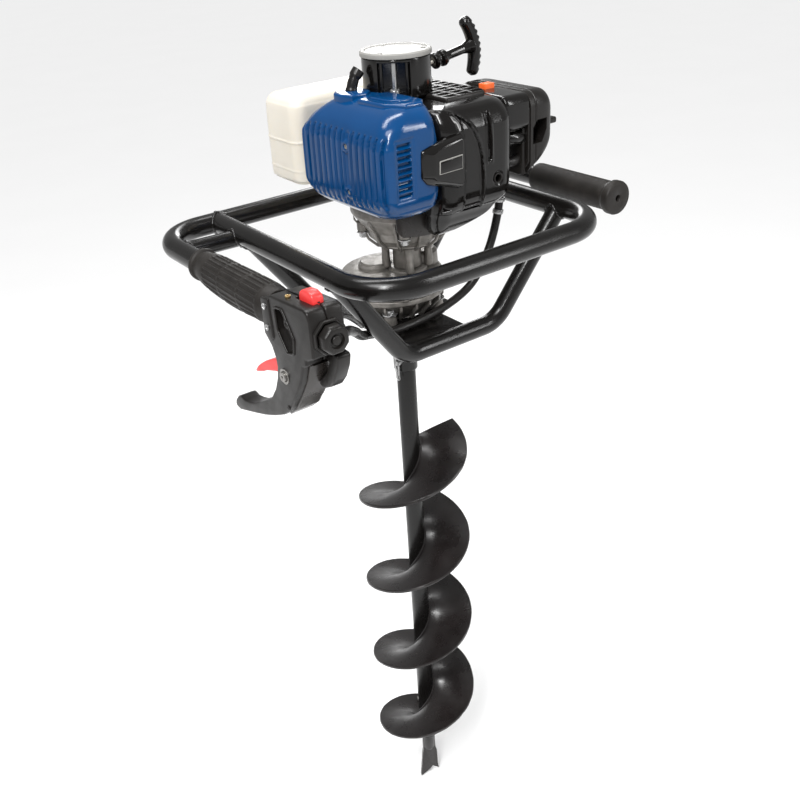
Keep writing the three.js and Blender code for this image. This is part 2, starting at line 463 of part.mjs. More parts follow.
add('crankshaft', union(
  lathe([[0, -16], [7.5, -16], [7.5, 39], [25, 39], [25, 46], [0, 46]], 20, CX, 0),
  disc(5, 44, 58, 12, CX + 14, 0),
  lathe([[0, 56], [25, 56], [25, 63], [7.5, 63], [7.5, 128], [5, 130], [5, 139], [0, 139]], 16, CX, 0),
), 'steel');
{
  let c = solid(lathe([[0, 24.3], [46, 24.3], [46, 70], [0, 70]], 28, CX, 0));
  c = c.add(solid(block(CX - 30, CX + 30, -62, -30, 30, 68)));
  c = c.subtract(solid(disc(30, 33, 68.5, 24, CX, 0))).subtract(solid(disc(8.2, 20, 75, 16, CX, 0))).subtract(solid(disc(20, 66, 75, 16, CX, 0)));
  c = c.subtract(solid(along(disc(22.5, -5, 70, 20), V3(CX, 0, 50), V3(0, -1, 0))));
  add('crankcase', c, 'alu');
}
{
  // finned cylinder, bore along -Y
  const out = [[0, 64.5], [25, 64.5]];
  for (let k = 0; k < 3; k++) out.push([25, 68 + k * 8], [30, 68 + k * 8], [30, 71 + k * 8], [25, 71 + k * 8]);
  out.push([25, 92], [20, 97], [0, 97]);
  const g = solid(lathe(out, 18)).subtract(solid(disc(20, 55, 90, 18))).subtract(solid(disc(5.3, 85, 100, 12)));
  add('cylinder', along(fromSolid(g), V3(CX, 0, 50), V3(0, -1, 0)), 'iron');
}
add('spark_plug', along(lathe([[0, 0], [4.9, 0], [4.9, 8], [8, 8.3], [8, 13], [0, 13]], 12), V3(CX, -90, 50), V3(0, -1, 0)), 'steel');
{
  // fan wheel under the starter
  let f = solid(lathe([[0, 72], [42, 72], [42, 76], [16, 78], [16, 92], [0, 92]], 28, CX, 0));
  for (let k = 0; k < 10; k++) {
    const b = slab([[14, -1.3], [41, -1.3], [41, 1.3], [14, 1.3]], 75, 92);
    b.rotateZ(rad(36 * k));
    b.translate(CX, 0, 0);
    f = f.add(solid(b));
  }
  f = f.subtract(solid(disc(7.8, 60, 100, 16, CX, 0)));
  add('flywheel_fan', f, 'alu');
}
add('muffler', union(pillow(-72, -38, -84, -12, 62, 124, 8, 4, 2), block(-40, -26.5, -78, -62, 70, 84)), 'iron');

// ---------------------------------------------------------------- engine covers
{
  // ribbed blue side cover, open towards the engine
  const outer = loft([
    [37, rounded(-76, -16, -96, 32, 22, 4)], [43, rounded(-84, -16, -105, 42, 20, 4)], [58, rounded(-89, -16, -110, 53.4, 14, 4)],
    [112, rounded(-88.4, -16, -111, 53, 14, 4)], [132, rounded(-82, -16, -109, 41, 20, 4)], [144, rounded(-68, -16, -99, 26, 20, 4)], [149, rounded(-52, -16, -84, 21, 16, 4)],
  ]);
  const inner = loft([
    [34, rounded(-71, -10, -91, 27, 20, 4)], [44, rounded(-81, -10, -102, 39, 18, 4)], [60, rounded(-86, -10, -107, 50, 12, 4)],
    [111, rounded(-85.4, -10, -108, 49.6, 12, 4)], [129, rounded(-79, -10, -106, 38, 18, 4)], [140, rounded(-65, -10, -96, 23, 18, 4)], [145.6, rounded(-50, -10, -80, 17, 14, 4)],
  ]);
  let c = solid(outer).subtract(solid(inner));
  c = c.add(solid(ring(11.5, 6.2, 140, 153, 16, -44, 8)));
  c = c.subtract(solid(disc(6.2, 138, 160, 16, -44, 8)));
  c = c.subtract(solid(disc(38.6, 139.9, 160, 28, CX, 0)));
  add('side_cover', c, 'blue');
}
{
  // black front shroud over the cylinder, flush with the side cover
  const outer = loft([
    [26, rounded(-15, 68, -98, -30, 14, 4)], [30, rounded(-15, 78, -105, -28, 18, 4)], [42, rounded(-15, 88, -110, -26, 22, 4)],
    [112, rounded(-15, 92, -110, -26, 24, 4)], [130, rounded(-15, 88, -104, -26, 22, 4)], [138.5, rounded(-15, 78, -94, -26, 18, 4)],
  ]);
  const inner = loft([
    [20, rounded(-20, 62, -92, -20, 12, 4)], [32, rounded(-20, 74, -101, -20, 16, 4)], [44, rounded(-20, 85, -107, -20, 20, 4)],
    [112, rounded(-20, 89, -107, -20, 22, 4)], [128, rounded(-20, 85, -101, -20, 20, 4)], [135.5, rounded(-20, 75, -91, -20, 16, 4)],
  ]);
  const port = along(disc(12.5, 80, 96, 16), V3(0, -36, 88), V3(1, 0, 0));
  add('front_shroud', solid(outer).subtract(solid(inner)).subtract(solid(port)), 'gloss');
}
{
  // fan housing with the louvred top, carries the starter
  let c = solid(loft([
    [70.3, rounded(-15, 88, -25.5, 48, 14, 4)], [128, rounded(-15, 90, -25.5, 48, 14, 4)], [140, rounded(-15, 84, -25.5, 44, 12, 4)],
  ]));
  c = c.subtract(solid(block(-25, 86, -35, 44.5, 60, 133)));
  c = c.subtract(solid(disc(10, 125, 145, 20, CX, 0)));
  const holes = [];
  for (let i = 0; i < 3; i++) for (let j = 0; j < 2; j++) holes.push(block(54 + i * 9, 60 + i * 9, -18 + j * 28, 4 + j * 28, 125, 150));
  for (const h of holes) c = c.subtract(solid(h));
  add('fan_housing', c, 'gloss');
}
{
  // starter housing on top, with the bolted lid
  let can = solid(lathe([[0, 140.3], [35, 140.3], [38, 143], [38, 183], [0, 183]], 28, CX, 0));
  can = can.subtract(solid(disc(35, 145, 190, 28, CX, 0)));
  const e = rad(PULL_TILT);
  can = can.subtract(solid(along(disc(6.5, 15, 60, 12), V3(CX, REEL_R, 151), V3(Math.cos(e), 0, Math.sin(e)))));
  // centre post for the reel
  can = can.add(solid(disc(4.2, 144, 182.5, 12, CX, 0)));
  add('starter_housing', can, 'gloss');
  add('starter_lid', lathe([[0, 183.3], [39.5, 183.3], [39.5, 187.5], [38, 189], [0, 189]], 28, CX, 0), 'silver');
  add('starter_reel', lathe([[4.5, 148.5], [26, 148.5], [26, 150.5], [REEL_R - 2, 151], [REEL_R - 2, 165], [26, 165.5], [26, 167.5], [9, 167.5], [9, 178], [4.5, 178]], 24, CX, 0), 'plastic');
}
const pull = V3(Math.cos(rad(PULL_TILT)), 0, Math.sin(rad(PULL_TILT)));
const ropeRoot = V3(CX, REEL_R, 151);
const onPull = (s) => ropeRoot.clone().addScaledVector(pull, s);
add('rope_guide', along(cut(lathe([[3, 31.5], [6.2, 31.5], [6.2, 46], [9, 48], [9, 54], [7, 57], [3, 57]], 16), disc(0.5, -5, 0, 8)), ropeRoot, pull), 'plastic');
add('starter_rope', tube([onPull(28), onPull(78)], 2, 8), 'rope');
{
  // T handle: a stem with a collar and a slightly bowed bar
  const stem = along(lathe([[0, 78.3], [5, 78.3], [7.5, 81], [7.5, 85], [5, 88], [4.6, 116], [7, 125], [0, 125]], 14), ropeRoot, pull);
  const side = V3(-pull.z, 0, pull.x);
  const c0 = 130;
  const bar = [];
  for (let k = -5; k <= 5; k++) { const t = k / 5; bar.push(onPull(c0 - 10 * t * t).addScaledVector(side, 31 * t)); }
  const b = tube(bar, 7, 10);
  add('starter_handle', solid(stem).add(solid(b)), 'plastic');
}

// ---------------------------------------------------------------- intake side
add('carburettor', union(block(93.5, 113, -52, -20, 72, 104), along(disc(11, -3, 26, 16), V3(91, -36, 88), V3(1, 0, 0)), disc(11.5, 62, 76, 18, 104, -36)).subtract(solid(disc(9.6, 60, 74, 18, 104, -36))), 'alu');
add('throttle_lever', union(along(disc(5, 0, 5, 12), V3(103, -58.2, 88), V3(0, 1, 0)), slabY([[99, 86], [107, 86], [106, 106], [100, 106]], -58.2, -55.2)), 'steel');
{
  let b = solid(loft([[44, rounded(117.3, 124, -88, 20, 3, 2)], [132, rounded(117.3, 124, -88, 20, 3, 2)]]));
  b = b.subtract(solid(along(disc(9, -10, 20, 16), V3(118, -36, 88), V3(1, 0, 0)))).subtract(solid(along(disc(2.5, -10, 20, 12), V3(118, -8, 100), V3(1, 0, 0))));
  add('filter_base', b, 'plastic');
}
{
  let e = solid(slabX(rounded(-74, 8, 58, 120, 8, 2), 124.3, 142));
  e = e.subtract(solid(slabX(rounded(-64, -2, 68, 110, 6, 2), 124, 136)));
  add('filter_element', e, 'foam');
}
{
  const outer = (y0, y1, z0, z1, r) => rounded(y0, y1, z0, z1, r, 4);
  const L = (secs) => { const g = loft(secs); g.applyMatrix4(new THREE.Matrix4().set(0, 0, 1, 0, 1, 0, 0, 0, 0, 1, 0, 0, 0, 0, 0, 1)); return clean(g); };
  let c = solid(L([[124.4, outer(-92, 24, 42, 134, 20)], [142, outer(-91.4, 23.4, 52, 133.4, 20)], [156, outer(-88, 20, 63, 129.5, 20)], [163, outer(-78, 10, 74, 119, 16)]]));
  c = c.subtract(solid(L([[120, outer(-89, 21, 43, 131, 18)], [141, outer(-88.4, 20.4, 55, 130.4, 18)], [154, outer(-85, 17, 66, 126.5, 18)], [160, outer(-75, 7, 76, 117, 14)]])));
  c = c.subtract(solid(along(disc(3.5, 150, 175, 12), V3(0, -62, 92), V3(1, 0, 0))));
  c = c.subtract(solid(block(129, 150, -95, -80, 77, 104)));
  add('filter_cover', c, 'plastic');
}
{
  let k = solid(along(lathe([[0, 150], [3, 150], [3, 163.4], [7, 163.4], [7, 168], [5, 171], [5, 176], [0, 176]], 12), V3(0, -62, 92), V3(1, 0, 0)));
  k = k.add(solid(block(169, 184, -72, -52, 88.5, 95.5)));
  add('filter_knob', k, 'plastic');
}
{
  // choke lever swings in the gap between carburettor and filter base
  const arm = slabX([[-13, 96], [-4, 95], [-2, 102], [-6, 106], [-31, 134], [-31, 141], [-42, 141], [-42, 133], [-36, 130]], 113.8, 116.8);
  add('choke_lever', union(arm, slabX(rect(-42, -31, 134, 141), 103, 115), along(disc(2, 112, 121, 12), V3(0, -8, 100), V3(1, 0, 0))), 'orange');
}
add('primer_bulb', along(lathe([[0, 0], [9, 0], [9, 3], [8, 7], [5, 10], [0, 11]], 14), V3(104, -36, 67.7), V3(0, 0, -1)), 'rubber');

// ---------------------------------------------------------------- ignition boot and tank
{
  const boot = tube(new THREE.CatmullRomCurve3([V3(-44, 8, 139), V3(-44, 8, 150), V3(-43, 8, 160), V3(-38, 6.5, 169), V3(-29, 4, 173.5)]).getSpacedPoints(9), 5.8, 12);
  add('plug_boot', boot, 'rubber');
}
{
  let t = solid(loft([
    [46, rounded(-85, 106, 60, 121, 12, 4)], [50, rounded(-90, 111, 55.5, 126, 15, 4)], [56, rounded(-92, 113, 54, 128, 16, 4)],
    [134, rounded(-91, 112, 54, 127, 16, 4)], [141, rounded(-88, 109, 57, 124, 14, 4)], [144, rounded(-82, 103, 63, 118, 10, 4)],
  ]));
  t = t.subtract(solid(loft([[50, rounded(-85, 106, 59, 122, 12, 4)], [58, rounded(-89, 110, 57, 125, 13, 4)], [134, rounded(-88, 109, 57, 124, 13, 4)], [140, rounded(-83, 104, 62, 119, 9, 4)]])));
  t = t.add(solid(disc(13, 139, 150, 20, 60, 90)));
  t = t.subtract(solid(disc(10.5, 130, 160, 20, 60, 90)));
  add('fuel_tank', t, 'tank');
  let cap = solid(lathe([[0, 150.3], [17, 150.3], [18, 152], [18, 162], [16.5, 164], [0, 164]], 20, 60, 90));
  add('fuel_cap', cap, 'plastic');
}
add('fuel_hose', tube(new THREE.CatmullRomCurve3([V3(118.5, 88, 60), V3(121, 70, 54), V3(112, 40, 60), V3(104, 12, 74), V3(103, -8, 84), V3(103, -19, 88)]).getSpacedPoints(16), 3, 8), 'rubber');

export default group;
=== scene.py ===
import json
import math
import bpy
import bmesh
from mathutils import Vector, Matrix, Quaternion


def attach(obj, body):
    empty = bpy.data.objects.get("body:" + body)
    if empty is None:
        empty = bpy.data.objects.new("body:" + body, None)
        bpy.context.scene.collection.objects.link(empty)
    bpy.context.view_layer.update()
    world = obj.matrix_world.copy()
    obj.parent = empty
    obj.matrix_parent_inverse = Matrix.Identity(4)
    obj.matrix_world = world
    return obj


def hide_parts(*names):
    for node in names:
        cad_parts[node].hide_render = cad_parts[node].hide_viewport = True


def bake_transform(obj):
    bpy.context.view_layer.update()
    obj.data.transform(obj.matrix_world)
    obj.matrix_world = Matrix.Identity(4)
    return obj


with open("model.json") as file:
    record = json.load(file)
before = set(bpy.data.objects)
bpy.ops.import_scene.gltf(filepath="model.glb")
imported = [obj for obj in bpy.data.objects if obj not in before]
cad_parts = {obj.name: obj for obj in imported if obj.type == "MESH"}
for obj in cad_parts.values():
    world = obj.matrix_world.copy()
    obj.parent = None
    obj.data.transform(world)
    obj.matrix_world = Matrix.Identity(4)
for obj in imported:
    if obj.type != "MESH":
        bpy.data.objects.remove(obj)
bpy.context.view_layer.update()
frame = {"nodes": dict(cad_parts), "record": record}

S = 0.001
ROOT = "frame_and_engine"
rad = math.radians


def V(*a):
    return Vector(a)


# ------------------------------------------------------------------ materials
def mat(name, color, rough, metal=0.0, color2=None, cscale=40, cmix=(0.35, 0.7), rvar=0.08, rscale=70, bump=((600, 0.00004),),
        coat=0.0, coat_rough=0.12, spec=0.5, sss=0.0, sss_radius=(0.006, 0.005, 0.004), transmission=0.0, stretch=None, weave=None):
    m = bpy.data.materials.new(name)
    m.use_nodes = True
    nt = m.node_tree
    b = nt.nodes["Principled BSDF"]
    L = nt.links.new
    b.inputs["Metallic"].default_value = metal
    b.inputs["Coat Weight"].default_value = coat
    b.inputs["Coat Roughness"].default_value = coat_rough
    b.inputs["Specular IOR Level"].default_value = spec
    b.inputs["Subsurface Weight"].default_value = sss
    b.inputs["Subsurface Radius"].default_value = sss_radius
    b.inputs["Subsurface Scale"].default_value = 1.0
    b.inputs["Transmission Weight"].default_value = transmission
    tc = nt.nodes.new("ShaderNodeTexCoord")
    src = tc.outputs["Object"]
    if stretch:
        mp = nt.nodes.new("ShaderNodeMapping")
        mp.inputs["Scale"].default_value = stretch
        L(src, mp.inputs["Vector"])
        src = mp.outputs["Vector"]
    n1 = nt.nodes.new("ShaderNodeTexNoise")
    n1.inputs["Scale"].default_value = cscale
    n1.inputs["Detail"].default_value = 5
    L(src, n1.inputs["Vector"])
    c2 = color2 or tuple(min(1, c * 1.35 + 0.004) for c in color)
    ramp = nt.nodes.new("ShaderNodeValToRGB")
    ramp.color_ramp.elements[0].position = cmix[0]
    ramp.color_ramp.elements[1].position = cmix[1]
    ramp.color_ramp.elements[0].color = (*color, 1)
    ramp.color_ramp.elements[1].color = (*c2, 1)
    L(n1.outputs["Fac"], ramp.inputs["Fac"])
    L(ramp.outputs["Color"], b.inputs["Base Color"])
    n2 = nt.nodes.new("ShaderNodeTexNoise")
    n2.inputs["Scale"].default_value = rscale
    n2.inputs["Detail"].default_value = 4
    L(src, n2.inputs["Vector"])
    mr = nt.nodes.new("ShaderNodeMapRange")
    mr.inputs["From Min"].default_value = 0.3
    mr.inputs["From Max"].default_value = 0.7
    mr.inputs["To Min"].default_value = max(0.02, rough - rvar)
    mr.inputs["To Max"].default_value = min(1, rough + rvar)
    L(n2.outputs["Fac"], mr.inputs["Value"])
    L(mr.outputs["Result"], b.inputs["Roughness"])
    last = None
    for scale, dist in bump:
        n = nt.nodes.new("ShaderNodeTexNoise")
        n.inputs["Scale"].default_value = scale
        n.inputs["Detail"].default_value = 3
        L(src, n.inputs["Vector"])
        bp = nt.nodes.new("ShaderNodeBump")
        bp.inputs["Strength"].default_value = 1.0
        bp.inputs["Distance"].default_value = dist
        L(n.outputs["Fac"], bp.inputs["Height"])
        if last:
            L(last.outputs["Normal"], bp.inputs["Normal"])
        last = bp
    if weave:
        w = nt.nodes.new("ShaderNodeTexWave")
        w.bands_direction = "DIAGONAL"
        w.inputs["Scale"].default_value = weave
        L(src, w.inputs["Vector"])
        bp = nt.nodes.new("ShaderNodeBump")
        bp.inputs["Distance"].default_value = 0.0003
        L(w.outputs["Fac"], bp.inputs["Height"])
        if last:
            L(last.outputs["Normal"], bp.inputs["Normal"])
        last = bp
    if last:
        L(last.outputs["Normal"], b.inputs["Normal"])
    return m


M = {
    "frame_paint": mat("frame_paint", (0.0042, 0.0038, 0.0035), 0.24, 0.0, (0.0065, 0.0058, 0.0054), 25, rvar=0.05, rscale=30, bump=((420, 0.00004), (60, 0.00003)), coat=0.0, spec=0.36),
    "grip_rubber": mat("grip_rubber", (0.0125, 0.0108, 0.0095), 0.52, 0.0, (0.020, 0.0175, 0.0155), 60, rvar=0.08, bump=((1800, 0.00006),), spec=0.25),
    "plastic_black": mat("plastic_black", (0.0070, 0.0060, 0.0053), 0.36, 0.0, (0.0105, 0.0090, 0.0080), 50, rvar=0.07, bump=((2200, 0.00004),), spec=0.32),
    "plastic_gloss": mat("plastic_gloss", (0.0034, 0.0029, 0.0026), 0.15, 0.0, (0.0050, 0.0044, 0.0040), 20, rvar=0.04, rscale=18, bump=((60, 0.00003),), coat=0.0, spec=0.42),
    "plastic_grey": mat("plastic_grey", (0.026, 0.0225, 0.0205), 0.30, 0.0, (0.034, 0.030, 0.027), 30, rvar=0.06, bump=((900, 0.00003),), spec=0.4),
    "plastic_red": mat("plastic_red", (0.72, 0.030, 0.030), 0.33, 0.0, (0.80, 0.045, 0.042), 30, rvar=0.05, bump=((500, 0.00003),), spec=0.5),
    "plastic_orange": mat("plastic_orange", (0.86, 0.13, 0.025), 0.38, 0.0, (0.92, 0.17, 0.04), 30, rvar=0.05, bump=((500, 0.00003),)),
    "plastic_blue": mat("plastic_blue", (0.0004, 0.037, 0.128), 0.15, 0.0, (0.0006, 0.047, 0.158), 14, rvar=0.04, rscale=16, bump=((70, 0.00004),), coat=0.0, spec=0.36),
    "cast_aluminium": mat("cast_aluminium", (0.155, 0.145, 0.132), 0.40, 0.55, (0.265, 0.25, 0.23), 90, rvar=0.12, rscale=160, bump=((1200, 0.00014), (260, 0.00010))),
    "lid_metal": mat("lid_metal", (0.25, 0.245, 0.23), 0.50, 0.0, (0.29, 0.285, 0.27), 60, rvar=0.07, bump=((1500, 0.00003),), spec=0.25),
    "zinc": mat("zinc", (0.34, 0.34, 0.34), 0.26, 0.85, (0.46, 0.46, 0.46), 140, rvar=0.08, bump=((900, 0.00004),)),
    "steel": mat("steel", (0.22, 0.21, 0.20), 0.32, 0.85, (0.34, 0.33, 0.31), 120, rvar=0.10, bump=((1400, 0.00004),)),
    "brass": mat("brass", (0.46, 0.33, 0.15), 0.32, 0.9, (0.60, 0.45, 0.22), 150, rvar=0.08, bump=((900, 0.00004),)),
    "tank_plastic": mat("tank_plastic", (0.63, 0.59, 0.515), 0.34, 0.0, (0.67, 0.635, 0.56), 9, rvar=0.06, rscale=20, bump=((220, 0.00006),), sss=0.25, sss_radius=(0.012, 0.010, 0.007), spec=0.3),
    "flight_paint": mat("flight_paint", (0.0085, 0.0068, 0.0066), 0.30, 0.0, (0.0155, 0.0125, 0.0122), 22, rvar=0.10, rscale=40, bump=((520, 0.00008), (90, 0.00007)), spec=0.42),
    "bare_edge": mat("bare_edge", (0.10, 0.095, 0.09), 0.38, 0.6, (0.22, 0.21, 0.20), 200, rvar=0.1, bump=((900, 0.0001),)),
    "hose_rubber": mat("hose_rubber", (0.0070, 0.0062, 0.0057), 0.32, 0.0, (0.011, 0.0098, 0.009), 70, rvar=0.08, bump=((1500, 0.00004),), spec=0.35),
    "cast_iron": mat("cast_iron", (0.07, 0.066, 0.062), 0.55, 0.6, (0.12, 0.11, 0.10), 120, rvar=0.1, bump=((900, 0.00015),)),
    "foam": mat("foam", (0.05, 0.05, 0.046), 0.95, 0.0, (0.09, 0.09, 0.08), 400, rvar=0.03, bump=((900, 0.0006),)),
    "rope": mat("rope", (0.62, 0.59, 0.52), 0.8, 0.0, (0.72, 0.69, 0.62), 300, rvar=0.05, bump=((900, 0.0001),), weave=500),
    "dark_gap": mat("dark_gap", (0.004, 0.004, 0.004), 0.7, 0.0, (0.006, 0.006, 0.006), 60, rvar=0.05),
    "floor_paint": mat("floor_paint", (0.96, 0.96, 0.96), 0.75, 0.0, (0.97, 0.97, 0.97), 3, rvar=0.03, bump=((30, 0.00002),), spec=0.1),
}


# ------------------------------------------------------------------ mesh code
def merge(*parts):
    vs, fs = [], []
    for v, f in parts:
        k = len(vs)
        vs += [Vector(p) for p in v]
        fs += [[i + k for i in q] for q in f]
    return vs, fs


def rotz(part, deg, x=0, y=0):
    q = Matrix.Rotation(rad(deg), 3, "Z")
    c = V(x, y, 0)
    return [q @ (Vector(p) - c) + c for p in part[0]], part[1]


def shift(part, d):
    return [Vector(p) + Vector(d) for p in part[0]], part[1]


def fillet(pts, r, n=4, closed=False):
    P = [Vector(p) for p in pts]
    out = []
    N = len(P)
    for i in range(N):
        if not closed and i in (0, N - 1):
            out.append(P[i])
            continue
        p, a, b = P[i], P[i - 1] - P[i], P[(i + 1) % N] - P[i]
        la, lb = a.length, b.length
        rr = r[i] if isinstance(r, (list, tuple)) else r
        if la < 1e-6 or lb < 1e-6 or rr <= 0:
            out.append(p)
            continue
        ang = a.angle(b)
        if ang > math.pi - 0.06:
            out.append(p)
            continue
        d = min(rr / math.tan(ang / 2), la * 0.48, lb * 0.48)
        s, e = p + a / la * d, p + b / lb * d
        for k in range(n + 1):
            t = k / n
            out.append((1 - t) ** 2 * s + 2 * t * (1 - t) * p + t * t * e)
    return out


def bent(corners, per=14):
    out = [Vector(corners[0][:3])]
    for i in range(1, len(corners) - 1):
        p, r = Vector(corners[i][:3]), corners[i][3]
        a = (Vector(corners[i - 1][:3]) - p).normalized()
        b = (Vector(corners[i + 1][:3]) - p).normalized()
        ang = a.angle(b)
        d = r / math.tan(ang / 2)
        c = p + (a + b).normalized() * (r / math.sin(ang / 2))
        u, w = (p + a * d - c).normalized(), (p + b * d - c).normalized()
        sw = u.angle(w)
        for k in range(per + 1):
            t = k / per
            out.append(c + (u * math.sin((1 - t) * sw) + w * math.sin(t * sw)) / math.sin(sw) * r)
    out.append(Vector(corners[-1][:3]))
    return out


def catmull(pts, per=8):
    P = [Vector(p) for p in pts]
    P = [P[0] * 2 - P[1]] + P + [P[-1] * 2 - P[-2]]
    out = []
    for i in range(1, len(P) - 2):
        p0, p1, p2, p3 = P[i - 1:i + 3]
        d = [max((b - a).length, 1e-6) ** 0.5 for a, b in ((p0, p1), (p1, p2), (p2, p3))]
        m1 = ((p1 - p0) / d[0] - (p2 - p0) / (d[0] + d[1]) + (p2 - p1) / d[1]) * d[1]
        m2 = ((p2 - p1) / d[1] - (p3 - p1) / (d[1] + d[2]) + (p3 - p2) / d[2]) * d[1]
        for k in range(per):
            t = k / per
            out.append((2 * t ** 3 - 3 * t * t + 1) * p1 + (t ** 3 - 2 * t * t + t) * m1 + (-2 * t ** 3 + 3 * t * t) * p2 + (t ** 3 - t * t) * m2)
    out.append(P[-2])
    return out


def spaced(pts, step):
    out = [pts[0].copy()]
    left = step
    for a, b in zip(pts, pts[1:]):
        seg = (b - a).length
        pos = 0
        while seg - pos >= left:
            pos += left
            out.append(a.lerp(b, pos / seg))
            left = step
        left -= seg - pos
    if (out[-1] - pts[-1]).length > step * 0.3:
        out.append(pts[-1].copy())
    else:
        out[-1] = pts[-1].copy()
    return out


def sweep(pts, r, seg=32, closed=False, rf=None, squash=1.0, up=None, round_end=0):
    P = [Vector(p) for p in pts]
    n = len(P)
    T = []
    for i in range(n):
        a = P[(i - 1) % n] if closed or i else P[i]
        b = P[(i + 1) % n] if closed or i < n - 1 else P[i]
        T.append((b - a).normalized())
    ref = Vector(up) if up else (V(0, 0, 1) if abs(T[0].z) < 0.9 else V(1, 0, 0))
    N = (ref - T[0] * ref.dot(T[0])).normalized()
    verts, faces = [], []
    length = [0]
    for i in range(1, n):
        length.append(length[-1] + (P[i] - P[i - 1]).length)
    for i in range(n):
        N = (N - T[i] * N.dot(T[i])).normalized()
        B = T[i].cross(N)
        for k in range(seg):
            f = 2 * math.pi * k / seg
            rr = rf(length[i], f, i) if rf else r
            verts.append(P[i] + (N * math.cos(f) * squash + B * math.sin(f)) * rr)
    m = n if closed else n - 1
    for i in range(m):
        for k in range(seg):
            a, b = i * seg + k, i * seg + (k + 1) % seg
            c, d = ((i + 1) % n) * seg + (k + 1) % seg, ((i + 1) % n) * seg + k
            faces.append([a, b, c, d])
    if not closed:
        faces.append(list(range(seg))[::-1])
        faces.append([(n - 1) * seg + k for k in range(seg)])
    return verts, faces


def lathe(profile, seg=72, org=(0, 0, 0), axis=(0, 0, 1), rf=None, phase=0.0):
    prof = [(p[0], p[1]) for p in profile]
    q = V(0, 0, 1).rotation_difference(Vector(axis).normalized())
    o = Vector(org)
    closed = prof[0][0] > 1e-6 or prof[-1][0] > 1e-6
    verts, faces, rings = [], [], []
    for r, z in prof:
        if r < 1e-6:
            verts.append(q @ V(0, 0, z) + o)
            rings.append([len(verts) - 1])
        else:
            ids = []
            for k in range(seg):
                f = 2 * math.pi * k / seg + phase
                rr = rf(r, z, f) if rf else r
                verts.append(q @ V(rr * math.cos(f), rr * math.sin(f), z) + o)
                ids.append(len(verts) - 1)
            rings.append(ids)
    idx = list(range(len(rings))) + ([0] if closed else [])
    for i, j in zip(idx, idx[1:]):
        a, b = rings[i], rings[j]
        if len(a) == 1 and len(b) == 1:
            continue
        for k in range(seg):
            k2 = (k + 1) % seg
            if len(a) == 1:
                faces.append([a[0], b[k2], b[k]])
            elif len(b) == 1:
                faces.append([a[k], a[k2], b[0]])
            else:
                faces.append([a[k], a[k2], b[k2], b[k]])
    return verts, faces


def flat(p, ax, h):
    return {"x": V(h, p[0], p[1]), "y": V(p[0], h, p[1]), "z": V(p[0], p[1], h)}[ax]


def extrude(outline, ax, lo, hi):
    n = len(outline)
    vs = [flat(p, ax, lo) for p in outline] + [flat(p, ax, hi) for p in outline]
    fs = [[i, (i + 1) % n, n + (i + 1) % n, n + i] for i in range(n)]
    fs += [list(range(n))[::-1], [n + i for i in range(n)]]
    return vs, fs


def box(x0, x1, y0, y1, z0, z1):
    return extrude([(x0, y0), (x1, y0), (x1, y1), (x0, y1)], "z", z0, z1)


def rounded(x0, x1, y0, y1, r, n=10):
    out = []
    for cx, cy, a0 in ((x1 - r, y0 + r, -90), (x1 - r, y1 - r, 0), (x0 + r, y1 - r, 90), (x0 + r, y0 + r, 180)):
        for k in range(n + 1):
            a = rad(a0 + 90 * k / n)
            out.append((cx + r * math.cos(a), cy + r * math.sin(a)))
    return out


def resample(outline, n):
    P = [Vector((*p, 0)) for p in outline]
    P.append(P[0])
    L = [0]
    for a, b in zip(P, P[1:]):
        L.append(L[-1] + (b - a).length)
    out, j = [], 0
    for k in range(n):
        s = L[-1] * k / n
        while L[j + 1] < s:
            j += 1
        t = (s - L[j]) / max(L[j + 1] - L[j], 1e-9)
        q = P[j].lerp(P[j + 1], t)
        out.append((q.x, q.y))
    return out


def smooth_secs(secs, k=6):
    """secs: [h, x0, x1, y0, y1, r]; smooth steps between them"""
    out = []
    n = len(secs)
    for i in range(n - 1):
        p0 = secs[max(i - 1, 0)]
        p1, p2 = secs[i], secs[i + 1]
        p3 = secs[min(i + 2, n - 1)]
        for s in range(k):
            t = s / k
            row = []
            for a, b, c, d in zip(p0, p1, p2, p3):
                v = 0.5 * ((2 * b) + (-a + c) * t + (2 * a - 5 * b + 4 * c - d) * t * t + (-a + 3 * b - 3 * c + d) * t ** 3)
                lo, hi = min(b, c), max(b, c)
                row.append(min(max(v, lo), hi))
            out.append(row)
    out.append(list(secs[-1]))
    return out


